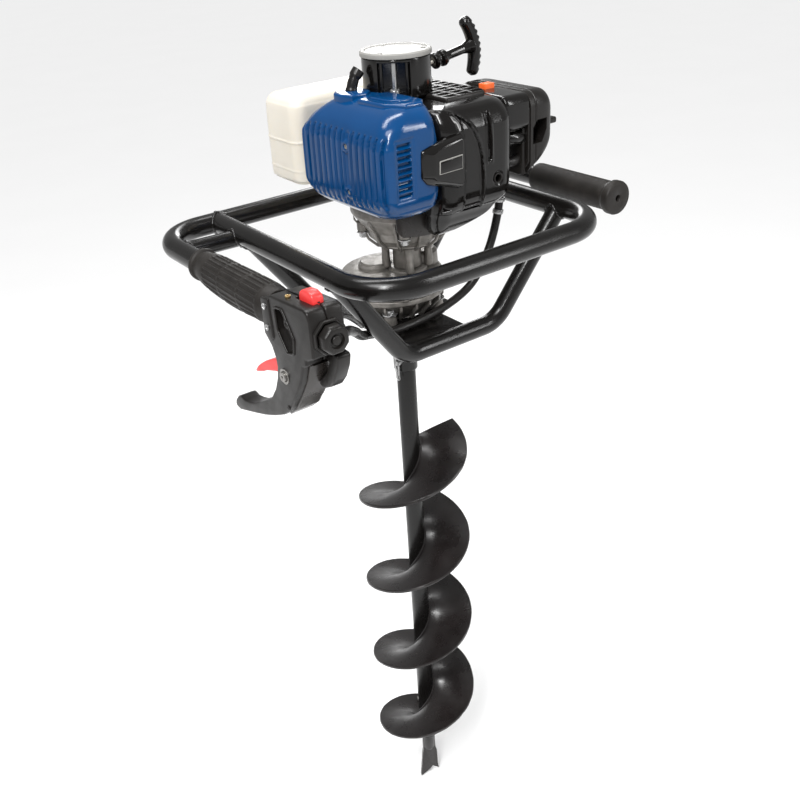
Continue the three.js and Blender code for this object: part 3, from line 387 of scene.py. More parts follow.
def lofted(secs, n=200, disp=None, ax="z", dense=None, k=6):
    """closed shell through smooth rounded sections; disp(p, normal) moves a point outwards"""
    rows = smooth_secs(secs, k)
    if dense:
        more = []
        for a, b in zip(rows, rows[1:]):
            m = max(1, math.ceil(abs(b[0] - a[0]) / dense))
            for s in range(m):
                more.append([u + (w - u) * s / m for u, w in zip(a, b)])
        rows = more + [rows[-1]]
    vs, fs = [], []
    for row in rows:
        h, x0, x1, y0, y1, r = row
        o = resample(rounded(x0, x1, y0, y1, r), n)
        for j, (x, y) in enumerate(o):
            px, py = o[j - 1]
            qx, qy = o[(j + 1) % n]
            t = V(qx - px, qy - py, 0).normalized()
            nx, ny = t.y, -t.x
            if disp:
                d = disp((x, y, h), (nx, ny))
                x, y = x + nx * d, y + ny * d
            vs.append(V(x, y, h))
    m = len(rows)
    for i in range(m - 1):
        for j in range(n):
            a, b = i * n + j, i * n + (j + 1) % n
            fs.append([a, b, b + n, a + n])
    # rounded caps: two inset rings and a centre fan
    for base, row, s in ((0, rows[0], -1), ((m - 1) * n, rows[-1], 1)):
        h, x0, x1, y0, y1, r = row
        prev = base
        cx, cy = (x0 + x1) / 2, (y0 + y1) / 2
        for f, dz in ((0.93, 0.5), (0.5, 0.8)):
            st = len(vs)
            for j in range(n):
                p = vs[base + j]
                vs.append(V(cx + (p.x - cx) * f, cy + (p.y - cy) * f, h + s * dz))
            for j in range(n):
                a, b, c, d = prev + j, prev + (j + 1) % n, st + (j + 1) % n, st + j
                fs.append([a, b, c, d] if s > 0 else [a, d, c, b])
            prev = st
        vs.append(V(cx, cy, h + s * 0.85))
        c = len(vs) - 1
        for j in range(n):
            fs.append([prev + j, prev + (j + 1) % n, c] if s > 0 else [prev + (j + 1) % n, prev + j, c])
    if ax == "x":
        vs = [V(p.z, p.x, p.y) for p in vs]
    return vs, fs


def raw(name, part):
    me = bpy.data.meshes.new(name)
    me.from_pydata([tuple(p * S) for p in map(Vector, part[0])], [], part[1])
    bm = bmesh.new()
    bm.from_mesh(me)
    bmesh.ops.remove_doubles(bm, verts=bm.verts, dist=1e-7)
    bmesh.ops.recalc_face_normals(bm, faces=bm.faces)
    bm.to_mesh(me)
    bm.free()
    ob = bpy.data.objects.new(name, me)
    bpy.context.scene.collection.objects.link(ob)
    return ob


def bake(ob):
    dg = bpy.context.evaluated_depsgraph_get()
    me = bpy.data.meshes.new_from_object(ob.evaluated_get(dg))
    ob.modifiers.clear()
    ob.data = me
    return ob


def bevelled(ob, width, segs=3, angle=32):
    m = ob.modifiers.new("bevel", "BEVEL")
    m.limit_method = "ANGLE"
    m.angle_limit = rad(angle)
    m.width = width * S
    m.segments = segs
    m.use_clamp_overlap = True
    return bake(ob)


def boolean(ob, tool, op="DIFFERENCE"):
    m = ob.modifiers.new("bool", "BOOLEAN")
    m.operation = op
    m.solver = "EXACT"
    m.object = tool
    bake(ob)
    bpy.data.objects.remove(tool)
    return ob


def piece(name, part, m, body=ROOT, rep=(), bevel=None, angle=32, cuts=(), ride=True, post_bevel=None):
    ob = part if isinstance(part, bpy.types.Object) else raw(name, part)
    ob.name = name
    if bevel:
        bevelled(ob, *(bevel if isinstance(bevel, tuple) else (bevel,)))
    for k, c in enumerate(cuts):
        boolean(ob, c if isinstance(c, bpy.types.Object) else raw(f"{name}_cut{k}", c))
    if post_bevel:
        bevelled(ob, *post_bevel)
    ob.data.materials.clear()
    for one in (m if isinstance(m, (list, tuple)) else [m]):
        ob.data.materials.append(M[one])
    for p in ob.data.polygons:
        p.use_smooth = True
    ob.data.set_sharp_from_angle(angle=rad(angle))
    if ride:
        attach(ob, body)
    if rep:
        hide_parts(*((rep,) if isinstance(rep, str) else rep))
    return ob


def refine(node, m, bevel=1.0, segs=3, angle=32, body=None, name=None):
    """a finer copy of a faceted CAD node: coplanar facets joined, edges rounded"""
    src = frame["nodes"][node]
    me = src.data.copy()
    ob = bpy.data.objects.new(name or node + "_fine", me)
    bpy.context.scene.collection.objects.link(ob)
    bm = bmesh.new()
    bm.from_mesh(me)
    bmesh.ops.remove_doubles(bm, verts=bm.verts, dist=2e-6)
    bmesh.ops.dissolve_limit(bm, angle_limit=rad(1.5), verts=bm.verts, edges=bm.edges)
    bm.to_mesh(me)
    bm.free()
    if body is None:
        body = [b for b, ns in frame["record"]["behaviour"]["bodies"].items() if node in ns][0]
    return piece(ob.name, ob, m, body, node, bevel=(bevel, segs, angle), angle=38)


def hexbolt(p, axis, af=10, h=5, washer=True, stem=0, socket=False):
    a = Vector(axis).normalized()
    r = af / math.sqrt(3)
    if socket:
        head = lathe(fillet([(0, 0.5 * h), (af * 0.24, 0.5 * h), (af * 0.27, h), (af * 0.5, h), (af * 0.5, 0), (0, 0)], 0.35, 2), 28, p, axis)
    else:
        head = lathe([(0, 0), (r, 0), (r, h * 0.86), (r * 0.86, h), (0, h)], 6, p, axis)
    parts = [head]
    if washer:
        parts.append(lathe([(0, -1.2), (af * 0.95, -1.2), (af * 0.95, 0), (0, 0)], 32, p, axis))
    if stem:
        parts.append(lathe([(0, -stem), (af * 0.3, -stem), (af * 0.3, 0), (0, 0)], 20, p, axis))
    return merge(*parts)


def sm(a, b, x):
    t = min(max((x - a) / (b - a), 0), 1)
    return t * t * (3 - 2 * t)


def win(x, a, b, e):
    """1 inside a..b, soft over e at each end"""
    return sm(a - e / 2, a + e / 2, x) * (1 - sm(b - e / 2, b + e / 2, x))


# ------------------------------------------------------------------ camera first
cam_data = bpy.data.cameras.new("camera")
cam = bpy.data.objects.new("camera", cam_data)
bpy.context.scene.collection.objects.link(cam)
bpy.context.scene.camera = cam
cam_data.lens = 43.42
cam_data.sensor_width = 36
cam_data.clip_start = 0.05
a_, e_, r_ = rad(-34.87), rad(28.91), rad(-3.77)
back = V(math.sin(a_) * math.cos(e_), -math.cos(a_) * math.cos(e_), math.sin(e_))
fwd = -back
right = fwd.cross(V(0, 0, 1)).normalized()
up = right.cross(fwd)
R_ = right * math.cos(r_) + up * math.sin(r_)
U_ = up * math.cos(r_) - right * math.sin(r_)
cam.matrix_world = Matrix((
    (R_.x, U_.x, back.x, -0.6325), (R_.y, U_.y, back.y, -0.8900), (R_.z, U_.z, back.z, 0.3609), (0, 0, 0, 1)))

# ------------------------------------------------------------------ dimensions, as the solids
TUBE_R, CRADLE_R = 12.1, 11.0
HXL, HXR, HYR = -235.6, 230.6, 149.5
RXL, RXR, RYF = -157.5, 162.4, -180.3
CXL, CXR, CZ = -66, 69, -123
CX = 12
TX = HXL

# ------------------------------------------------------------------ throttle conduit and leads
route = spaced(catmull([(104, -62, 64), (105, -61.5, 42), (106, -61, 14), (102, -61, -8), (88, -61, -45), (60, -61, -81), (12, -60.5, -100), (-45, -60, -106),
                        (-72, -63, -102), (-97, -74, -92), (-125, -99, -76), (-165, -148, -42), (-199, -187, -17.5), (-213, -192, -16.3), (-220, -194, -16)], 24), 1.2)
length = sum((b - a).length for a, b in zip(route, route[1:]))


def conduit_r(s, f, i):
    x = route[min(i, len(route) - 1)].x
    rib = 0.55 * (0.5 + 0.5 * math.cos(2 * math.pi * s / 3.6)) if -168 < x < -84 else 0.0
    return 4.95 + rib - (0.25 if -168 < x < -84 else 0)


conduit = piece("throttle_cable_conduit", sweep(route, 5, 20, rf=conduit_r), "hose_rubber", rep="throttle_conduit", angle=60)
for k, s in enumerate((52, 66)):
    i = int(s / 1.2)
    d = (route[i + 1] - route[i - 1]).normalized()
    piece(f"conduit_clamp_{k}", lathe(fillet([(5.2, -2.6), (6.5, -2.6), (6.5, 2.6), (5.2, 2.6)], 0.5, 2, True), 40, route[i], d), "zinc")
lead = spaced(catmull([(-216.9, -201, 6), (-212.5, -201, 6), (-206, -196, 3.5), (-190, -180, -8), (-165, -156, -30), (-146, -133, -47)], 16), 1.0)
lead_l = sum((b - a).length for a, b in zip(lead, lead[1:]))
lead_o = piece("stop_switch_lead", sweep(lead, 2.4, 16), "hose_rubber", rep="stop_lead", angle=60)
hose = spaced(catmull([(118.5, 88, 60), (121, 70, 54), (112, 40, 60), (104, 12, 74), (103, -8, 84), (103, -19, 88)], 16), 1.2)
hose_l = sum((b - a).length for a, b in zip(hose, hose[1:]))
hose_o = piece("fuel_hose_tube", sweep(hose, 2.9, 16), "hose_rubber", rep="fuel_hose", angle=60)

# ------------------------------------------------------------------ frame
handle = bent([(HXL, -218.6, 0), (HXL, HYR, 0, 55), (HXR, HYR, 0, 55), (HXR, -126, 0)], 18)
piece("handle_tube_bent", sweep(handle, TUBE_R, 40), "frame_paint", rep="handle_tube", angle=40)
ring = bent([(RXL, HYR, 0), (RXL, RYF, 0, 60), (RXR, RYF, 0, 60), (RXR, HYR, 0)], 18)
piece("ring_tube_bent", sweep(ring, TUBE_R, 40), "frame_paint", rep="ring_tube", angle=40)
for nm, yl, yh in (("cradle_tube_front", -93, -102), ("cradle_tube_rear", 74, 72)):
    pts = bent([(RXL, yh, 0), (CXL, yl, CZ, 38), (CXR, yl, CZ, 38), (RXR, yh, 0)], 16)
    piece(nm + "_bent", sweep(pts, CRADLE_R, 36), "frame_paint", rep=nm, angle=40)
for nm, hx, mx, rx in (("stub_brace_left", HXL, -198, RXL), ("stub_brace_right", HXR, 196, RXR)):
    pts = [V(hx, 84, 0).lerp(V(rx, 93, -5), k / 8) for k in range(9)]
    piece(nm + "_drawn", sweep(pts, 10, 32), "frame_paint", rep=nm, angle=40)


def bead(a, A, R, q, d, r):
    a, A, q, d = Vector(a), Vector(A).normalized(), Vector(q), Vector(d).normalized()
    u = d.orthogonal().normalized()
    v = d.cross(u)
    pts = []
    n = 56
    for k in range(n):
        f = 2 * math.pi * k / n
        p = q + (u * math.cos(f) + v * math.sin(f)) * (r + 0.3)
        w = p - a
        wp, dp = w - A * w.dot(A), d - A * d.dot(A)
        B, C2 = wp.dot(dp), wp.length_squared - R * R
        disc = max(B * B - dp.length_squared * C2, 0)
        t = (-B + math.sqrt(disc)) / dp.length_squared
        pts.append(p + d * t)
    return sweep(pts, 2.1, 12, closed=True, rf=lambda s, f, i: 2.0 + 0.35 * math.sin(i * 2 * math.pi / 3.5))


beads = []
for yl, yh in ((-93, -102), (74, 72)):
    for rx, cx in ((RXL, CXL), (RXR, CXR)):
        beads.append(bead((rx, 0, 0), (0, 1, 0), TUBE_R, (rx, yh, 0), V(cx, yl, CZ) - V(rx, yh, 0), CRADLE_R))
for rx in (RXL, RXR):
    beads.append(bead((0, HYR, 0), (1, 0, 0), TUBE_R, (rx, HYR, 0), (0, -1, 0), TUBE_R - 0.25))
for hx, mx, rx in ((HXL, -198, RXL), (HXR, 196, RXR)):
    beads.append(bead((hx, 0, 0), (0, 1, 0), TUBE_R, (hx, 84, 0), V(rx, 93, -5) - V(hx, 84, 0), 10))
    beads.append(bead((rx, 0, 0), (0, 1, 0), TUBE_R, (rx, 93, -5), V(hx, 84, 0) - V(rx, 93, -5), 10))
for k, b in enumerate(beads):
    piece(f"weld_bead_{k}", b, "frame_paint", angle=50)

plate = [(-62, -86), (28, -86), (28, -20), (60, -20), (60, 66), (-62, 66)]
piece("mounting_plate_pressed", extrude(plate, "z", -120, -115), "frame_paint", rep="mounting_plate", bevel=(1.6, 3), cuts=[lathe([(0, -130), (26, -130), (26, -100), (0, -100)], 48)])

# ------------------------------------------------------------------ grips
RIBS = 22


def grip_left_part():
    prof = [(12.4, -31.5), (17.2, -31.5), (17.8, -30.5), (17.8, -27.5), (17, -26.5), (15.6, -25.6), (15.5, -20), (17.4, -12), (18.2, -4)]
    s = -2
    while s < 118:
        prof.append((18.3 + 1.6 * sm(0, 100, s), s))
        s += 1.5
    prof += [(19.6, 119), (18.4, 121), (18.2, 129.5), (17.6, 130.4), (12.4, 130.4)]
    vs, fs = lathe(prof, 264, (0, 0, 0), (0, -1, 0))
    out = []
    for p in vs:
        s = -p.y
        r = math.hypot(p.x, p.z)
        f = math.atan2(p.z, p.x)
        if r > 13.5:
            band = max(win(s, 2, 34, 2.4), win(s, 38, 76, 2.4), win(s, 80, 114, 2.4))
            rib = max(0.0, math.cos(f * RIBS)) ** 0.6
            r2 = r + band * (rib * 1.25 - 0.75)
            t = min(max((s + 20) / 140, 0), 1)
            w = math.sin(math.pi * min(t * 1.15, 1)) * 5
            z = r2 * math.sin(f)
            if z < 0:
                z -= w * (-math.sin(f))
            p = V(r2 * math.cos(f), p.y, z)
        out.append(V(p.x + HXL, p.y, p.z))
    return out, fs


piece("grip_left_ribbed", grip_left_part(), "grip_rubber", rep="grip_left", angle=50)
piece("grip_left_nub", merge(lathe(fillet([(0, 0), (4, 0), (4, 7), (3, 9), (0, 9)], 1, 3), 28, (HXL, -110, -16), (0, 0.1, -1))), "grip_rubber")


def grip_right_part():
    prof = [(12.4, 4.5), (15.6, 4.5), (16.6, 3.4)]
    s = -3.0
    while s <= 118:
        prof.append((17.1, s))
        s += 0.8
    prof += [(17.6, 119.5), (18.6, 121.5), (20.2, 123.4), (20.4, 124.5), (20.4, 130.5), (19.6, 132.4), (18.6, 133), (4.6, 133), (4, 132.4), (4, 127), (0, 127)]
    prof[0] = (12.4, -3.6); prof[1] = (16.2, -3.6); prof[2] = (17.0, -3.2)
    vs, fs = lathe(prof[::-1], 200, (0, 0, 0), (0, -1, 0))
    out = []
    for p in vs:
        s = -p.y
        r = math.hypot(p.x, p.z)
        if r > 16.9 and r < 17.3 and s < 118:
            f = math.atan2(p.z, p.x)
            a1 = abs(math.sin((f * 25 + s * 0.72)))
            a2 = abs(math.sin((f * 25 - s * 0.72)))
            k = min(a1, a2)
            edge = win(s, -1, 116, 3)
            r2 = r + edge * 0.55 * min(1, k * 1.6)
            p = V(p.x * r2 / r, p.y, p.z * r2 / r)
        out.append(V(p.x + HXR, p.y, p.z))
    return out, fs


piece("grip_right_knurled", grip_right_part(), "grip_rubber", rep="grip_right", angle=50)

# ------------------------------------------------------------------ throttle unit
body_out = [(-131, -22), (-131, 16), (-140, 20), (-150, 24), (-208, 28), (-214, 26), (-217, 18), (-217, -18), (-203, -24), (-203, -30), (-196, -33), (-190, -50), (-176, -72), (-160, -94),
            (-146, -104), (-126, -113.5), (-104, -122), (-80, -129.5), (-48, -139), (-40, -138), (-38, -134), (-40, -129), (-46, -123), (-54, -119), (-62, -121), (-72, -119.5), (-84, -116), (-105, -105), (-124, -93.5), (-136, -78), (-143, -63), (-146, -50), (-145, -41), (-140, -30)]
slot_out = [(-180, -46), (-152, -40), (-120, -44), (-120, -70), (-150, -80), (-172, -70), (-180, -58)]
recess = fillet([(-156, 15, 0), (-170, 17, 0), (-187, -8, 0), (-184, -24, 0), (-172, -27, 0), (-158, -8, 0)], 4, 4, True)
recess = [(p.x, p.y) for p in recess]
halfL = raw("throttle_half_l", extrude(body_out, "x", TX - 19, TX - 0.1))
bevelled(halfL, 2.4, 4, 28)
piece("throttle_case_left", halfL, "plastic_black", rep="throttle_housing_left",
      cuts=[extrude(slot_out, "x", TX - 8.5, TX + 8.5), box(TX - 6.3, TX + 6.3, -205.3, -174, 15, 45), extrude(recess, "x", TX - 30, TX - 12.5),
            lathe([(0, -40), (12.4, -40), (12.4, 140), (0, 140)], 40, (TX, -100, 0), (0, -1, 0))], angle=36)
body_r = [(-131, -22), (-131, 16), (-140, 20), (-150, 24), (-208, 28), (-214, 26), (-217, 18), (-217, -18), (-203, -24), (-203, -30), (-196, -33), (-190, -50), (-176, -72), (-166, -86), (-148, -86), (-138, -74), (-143, -63), (-146, -50), (-145, -41), (-140, -30)]
halfR = raw("throttle_half_r", extrude(body_r, "x", TX + 0.1, TX + 18))
bevelled(halfR, 2.4, 4, 28)
piece("throttle_case_right", halfR, "plastic_black", rep="throttle_housing_right",
      cuts=[extrude(slot_out, "x", TX - 8.5, TX + 8.5), box(TX - 6.3, TX + 6.3, -205.3, -174, 15, 45),
            lathe([(0, -40), (12.4, -40), (12.4, 140), (0, 140)], 40, (TX, -100, 0), (0, -1, 0))], angle=36)
guard = [(-190, -21), (-214, -18.2), (-222, -18.6), (-224.5, -21), (-222, -32), (-215, -46), (-206, -57), (-194, -63), (-186, -60), (-192, -52), (-202, -43), (-208, -30), (-190, -28)]
piece("hand_guard_front", extrude(guard, "x", TX + 2, TX + 17), "plastic_black", bevel=(1.8, 3, 28), angle=36)
# the arm's paler front face, its lower web and the rim round the recess
piece("arm_front_face", extrude([(-204.2, -31), (-197.6, -34), (-191.4, -51), (-177.6, -72.4), (-162, -94), (-148, -105), (-146.5, -102), (-160, -90), (-175, -69), (-188, -49), (-195, -31)], "x", TX - 12, TX + 14.5), "plastic_grey", bevel=(1.0, 2, 28))
rim = [V(TX - 19.2, y, z) for y, z in recess]
piece("recess_rim", sweep(rim, 1.3, 10, closed=True), "plastic_black", angle=50)
piece("recess_post", lathe(fillet([(0, -12.6), (5, -12.6), (5, -17.2), (2.4, -17.6), (2.4, -15), (0, -15)], 0.6, 2), 28, (TX, -172, 2), (1, 0, 0)), "plastic_black")
clamp = raw("clamp_block", extrude([(-132.5, -19), (-132.5, 18), (-147, 20.5), (-149, -19), (-143, -25)], "x", TX - 20.4, TX - 17))
piece("clamp_block_left", clamp, "plastic_black", bevel=(1.6, 3))
piece("clamp_seam", extrude([(-149, 24.4), (-206, 28.6), (-206, 29.4), (-149, 25.2)], "x", TX - 1.0, TX + 1.0), "dark_gap")
scr = [hexbolt((TX - 20.2, -140, 11), (-1, 0, 0), 6.4, 1.9, False, 2, True), hexbolt((TX - 20.2, -141, -10), (-1, 0, 0), 6.4, 1.9, False, 2, True)]
piece("clamp_screws", merge(*scr), "zinc", angle=40)
piece("switch_screw", hexbolt((TX - 10, -168, 25.2), (0, 0, 1), 5.6, 2.2, False, 2, True), "brass", angle=40)
piece("arm_screw", hexbolt((TX - 18.6, -160, -90), (-1, 0, 0), 5.2, 1.4, False, 2, True), "plastic_black", angle=40)
piece("trigger_pivot_head", merge(lathe(fillet([(0, -20.5), (1.6, -20.5), (1.6, -22.2), (5, -22.2), (5.2, -19.3), (3, -19.3), (3, 17), (0, 17)], 0.35, 2), 32, (TX, -160, -55.4), (1, 0, 0)),
                                  lathe(fillet([(5.4, -20), (8, -20), (8, -18.6), (5.4, -18.6)], 0.3, 2, True), 40, (TX, -160, -55.4), (1, 0, 0))), "steel", rep="trigger_pivot_screw", angle=40)
trig = [(-166, -50), (-160, -48), (-152, -47.9), (-145, -48.5), (-136, -50.4), (-129, -53), (-117, -57.2), (-107, -61.5), (-98, -66), (-90, -71), (-83, -75.7), (-78, -80), (-73, -86), (-76, -86.5), (-83, -83.6), (-90, -81), (-98, -77), (-107, -74), (-117, -70.7), (-126, -68.5), (-134, -66.8), (-142, -66), (-152, -66), (-163, -62), (-167, -57)]
piece("trigger_lever", extrude(trig, "x", TX - 7, TX + 7), "plastic_red", body="trigger", rep="throttle_trigger", bevel=(2.2, 4, 30), angle=40, cuts=[lathe([(0, -30), (3.3, -30), (3.3, 30), (0, 30)], 24, (TX, -160, -55.4), (1, 0, 0))])
sw = [(-205, 19), (-181, 19), (-180.8, 30), (-182, 34), (-186, 36.6), (-196, 37.8), (-203, 35.4), (-205, 32)]
piece("stop_switch_cap", extrude(sw, "x", TX - 6, TX + 6), "plastic_red", body="stop_switch", rep="throttle_switch", bevel=(1.8, 4, 30), angle=40)
# octagonal plug with its recessed eye
piece("tube_end_plug_cap", lathe([(0, -1), (8.1, -1), (8.1, 12.3), (11, 12.3), (14.6, 13.5), (14.6, 21.2), (12.8, 24), (0, 24)], 8, (TX, -207, 0), (0, -1, 0), phase=math.pi / 8),
      "plastic_black", rep="tube_end_plug", bevel=(1.3, 3, 25), angle=36, cuts=[lathe([(0, 21.5), (7.0, 21.5), (8.2, 26), (0, 26)], 40, (TX, -207, 0), (0, -1, 0))])
piece("plug_button", lathe(fillet([(0, 20.6), (4.8, 20.6), (4.8, 22.8), (4.0, 23.6), (0, 23.6)], 0.5, 2), 32, (TX, -207, 0), (0, -1, 0)), "plastic_black")
piece("plug_surround", lathe(fillet([(14.9, 9.6), (18.2, 9.6), (17.4, 13.4), (14.9, 13.4)], 0.8, 2, True), 8, (TX, -207, 0), (0, -1, 0), phase=math.pi / 8), "plastic_black", angle=30)
piece("conduit_gland", lathe(fillet([(5.2, 0), (8.2, 0), (8.2, 5), (6.6, 6), (6.6, 15), (5.2, 15)], 0.6, 2, True), 36, (-217.4, -193.4, -16.2), V(4.4, 1.2, -0.1)), "plastic_black")

# ------------------------------------------------------------------ gearbox
gx, gy, ix, iy = -1, 16, -13, 31
P2 = lambda pts, r, n=3, closed=False: [(p.x, p.y) for p in fillet([(*q, 0) for q in pts], r, n, closed)]
cover = lathe(P2([(0, -83.8), (64.5, -83.8), (64.5, -77.2), (62.4, -75.8), (62.4, -69), (60.6, -66.3), (46, -64), (30, -63), (0, -63)], 1.4), 96, (gx, gy, 0))
bossA = lathe(P2([(0, -70), (21, -70), (20.6, -60), (18.6, -58.6), (18.2, -57), (16.8, -56), (0, -56)], 0.8), 64, (ix, iy + 2, 0))
bossB = lathe(P2([(0, -75), (21.6, -75), (20.4, -50), (17, -46), (0, -46)], 1.6), 64, (38, 8, 0))
seat = lathe(P2([(0, -70), (24.6, -70), (23.6, -61.4), (20, -59.6), (0, -59.6)], 1.0), 64, (CX, 0, 0))
gc = raw("gearbox_cover_cast", cover)
for k, b in enumerate((bossA, bossB, seat)):
    boolean(gc, raw(f"gb{k}", b), "UNION")
piece("gearbox_cover_cast", gc, "cast_aluminium", rep="gearbox_cover", angle=30)
ears = []
for k in range(8):
    a = rad(22.5 + 45 * k)
    ears.append(lathe(P2([(0, -83.9), (6.2, -83.9), (6.2, -76.2), (0, -76.2)], 0.8), 28, (gx + 60.5 * math.cos(a), gy + 60.5 * math.sin(a), 0)))
piece("gearbox_ears", merge(*ears), "cast_aluminium", angle=35)
bolts = []
for k in range(8):
    a = rad(22.5 + 45 * k)
    bolts.append(hexbolt((gx + 60.8 * math.cos(a), gy + 60.8 * math.sin(a), -76.1), (0, 0, 1), 5.6, 3.2, True, 0, True))
piece("gearbox_screws", merge(*bolts), "zinc", angle=35)
base_p = P2([(0, -84.1), (64.5, -84.1), (64.5, -90), (58.5, -94), (53, -100.5), (47, -107.5), (42, -111), (42, -114.7), (22, -114.7), (22, -119), (11, -119), (11, -112), (0, -112)], 1.8)
piece("gearbox_base_cast", lathe(base_p, 96, (gx, gy, 0)), "cast_aluminium", rep="gearbox_base", angle=30)
ribs = []
for k in range(20):
    r = extrude([(40, -112), (46, -108.6), (57.5, -95), (62.8, -90.5), (62.8, -97.5), (49, -114), (40, -114.4)], "y", -1.5, 1.5)
    ribs.append(shift(rotz(r, 18 * k + 9), (gx, gy, 0)))
ribs = raw("gearbox_ribs", merge(*ribs))
piece("gearbox_ribs", ribs, "cast_aluminium", bevel=(0.8, 2))
feet = []
for k in range(4):
    a = rad(45 + 90 * k)
    feet.append(lathe(P2([(0, -114.9), (8.5, -114.9), (7, -102), (0, -102)], 0.9), 28, (gx + 50 * math.cos(a), gy - 6 + 50 * math.sin(a), 0)))
piece("gearbox_feet", merge(*feet), "cast_aluminium", angle=35)
fb = []
for k in range(4):
    a = rad(45 + 90 * k)
    fb.append(hexbolt((gx + 50 * math.cos(a), gy - 6 + 50 * math.sin(a), -101), (0, 0, 1), 10, 5))
    fb.append(hexbolt((gx + 50 * math.cos(a), gy - 6 + 50 * math.sin(a), -121.2), (0, 0, -1), 10, 5))
piece("plate_bolts", merge(*fb), "zinc", angle=35)

# ------------------------------------------------------------------ clutch housing, neck and engine block
bell = lathe(P2([(9.6, -59.4), (17.4, -59.4), (17, -36), (30, -31), (45, -17), (49, -7), (59, 7), (63.5, 13), (63.5, 24), (59.5, 24), (59.5, 15), (46, -4), (36, -14), (36, -28), (9.6, -28)], 2.0, 3, True), 110, (CX, 0, 0))
piece("clutch_bell_cast", bell, "cast_aluminium", rep="clutch_housing", angle=32)
parts = []
for d in ((0.82, -0.57), (-0.82, 0.57), (0.57, 0.82), (-0.50, -0.86)):
    parts.append(lathe(P2([(0, -60.4), (5.2, -60.4), (4.4, -26), (0, -26)], 0.6), 24, (CX + 25.5 * d[0], 25.5 * d[1], 0)))
piece("neck_posts", merge(*parts), "cast_aluminium", angle=35)
webs = []
for k in range(12):
    w = extrude([(30, -32.5), (45, -18.5), (49.5, -8), (60, 6), (62.6, 12), (62.6, 6), (54, -6), (52, -12), (47, -21), (36, -31)], "y", -1.4, 1.4)
    webs.append(shift(rotz(w, 30 * k + 12), (CX, 0, 0)))
piece("clutch_bell_webs", raw("cw", merge(*webs)), "cast_aluminium", bevel=(0.7, 2))
bb = []
for az in (-128, -20, 70, 160):
    a = rad(az)
    bb.append(lathe(P2([(0, -9), (6.6, -9), (6.6, 3), (0, 3)], 0.8), 28, (CX + 52 * math.cos(a), 52 * math.sin(a), 0)))
piece("bell_bolt_bosses", merge(*bb), "cast_aluminium", angle=35)
bs = [hexbolt((CX + 52 * math.cos(rad(az)), 52 * math.sin(rad(az)), -10.2), (0, 0, -1), 8, 6.5) for az in (-128, -20, 70, 160)]
piece("bell_bolts", merge(*bs), "zinc", angle=35)
# dark guard in front of the crankcase
gpts = []
g_in, g_out = [], []
for k in range(19):
    a = rad(-135 + 43 * k / 18)
    low = -3 + 9 * max(0, 1 - k / 3) ** 2 + 9 * max(0, 1 - (18 - k) / 3) ** 2
    g_out.append((V(CX + 66.8 * math.cos(a), 66.8 * math.sin(a), 0), low))
    g_in.append((V(CX + 63.9 * math.cos(a), 63.9 * math.sin(a), 0), low))
vs = [p + V(0, 0, z) for p, z in g_out] + [p + V(0, 0, 27.5) for p, z in g_out] + [p + V(0, 0, z) for p, z in g_in] + [p + V(0, 0, 27.5) for p, z in g_in]
fs = []
for k in range(18):
    fs += [[k, k + 1, 19 + k + 1, 19 + k], [38 + k + 1, 38 + k, 57 + k, 57 + k + 1], [k + 1, k, 38 + k, 38 + k + 1], [19 + k, 19 + k + 1, 57 + k + 1, 57 + k]]
fs += [[0, 19, 57, 38], [18, 56, 75, 37]]
piece("crankcase_guard", (vs, fs), "plastic_grey", bevel=(0.9, 3, 40), angle=40)
cowl = raw("cowl", lofted([[3, -9, 14, -86, -69, 6], [6, -11.5, 24, -91, -67.5, 9], [12, -13.4, 46, -96, -66.5, 12], [18, -14.4, 62, -99.6, -66, 14], [24, -14.8, 70, -101.5, -66, 15], [29, -15.2, 76, -104, -60, 16]], n=140, k=4))
piece("shroud_lower_cowl", cowl, "plastic_gloss", angle=45)
piece("crankcase_block", lathe(P2([(0, 24.3), (60, 24.3), (60, 36), (46, 40), (46, 70), (0, 70)], 2.0), 80, (CX, 0, 0)), "cast_aluminium", rep="crankcase", angle=35)

# ------------------------------------------------------------------ blue side cover
SCREWS = ((-41.6, 109), (-41.6, 60.5))


def d_side(p, nrm):
    x, y, z = p
    nx, ny = nrm
    d = 0.0
    # upright ribs on the outer face
    f = sm(0.42, 0.85, -nx)
    if f > 0:
        low = 47.5 + 7.5 * sm(-40, -100, y) + 3 * sm(20, 44, y)
        field = win(z, low, 124 - 2.5 * sm(15, 44, y), 5) * win(y, -104.6, 51.2, 3)
        prof = 0.5 + 0.5 * math.cos(2 * math.pi * (y + 36.4) / 10.4)
        w = -2.9 + 4.1 * sm(0.10, 0.52, prof)
        if abs(y + 41.6) < 5.2:
            w = -0.4 - 1.3 * win(y, -43.0, -40.2, 1.4)
        for sy, sz in SCREWS:
            q = math.hypot(y - sy, z - sz)
            if q < 9:
                w = w * sm(5.6, 8.0, q) + (-2.4 if q < 3.0 else 1.2) * (1 - sm(5.6, 8.0, q))
        d += f * field * w
    # louvre panel on the side facing forward
    g = sm(0.8, 0.98, -ny)
    if g > 0:
        panel = win(x, -75.5, -51.5, 1.6) * win(z, 59, 123, 1.6)
        d -= 1.0 * g * panel
        if 62.5 < z < 118.5:
            row = ((z - 62.5) % 6.4) / 6.4
            inside = win(x, -72.2, -56.0, 1.6) * win(row, 0.16, 0.74, 0.16)
            d -= 4.4 * g * inside
            d += 0.9 * g * win(x, -72.2, -56.0, 1.6) * (1 - win(row, 0.08, 0.86, 0.16))
        # pressed frame line at the seam to the shroud
        d -= 0.9 * g * win(x, -24, -20.5, 1.2) * win(z, 46, 138, 5)
    # belt line near the lower rim
    d += 0.8 * win(z, 43, 46.5, 1.5)
    return d


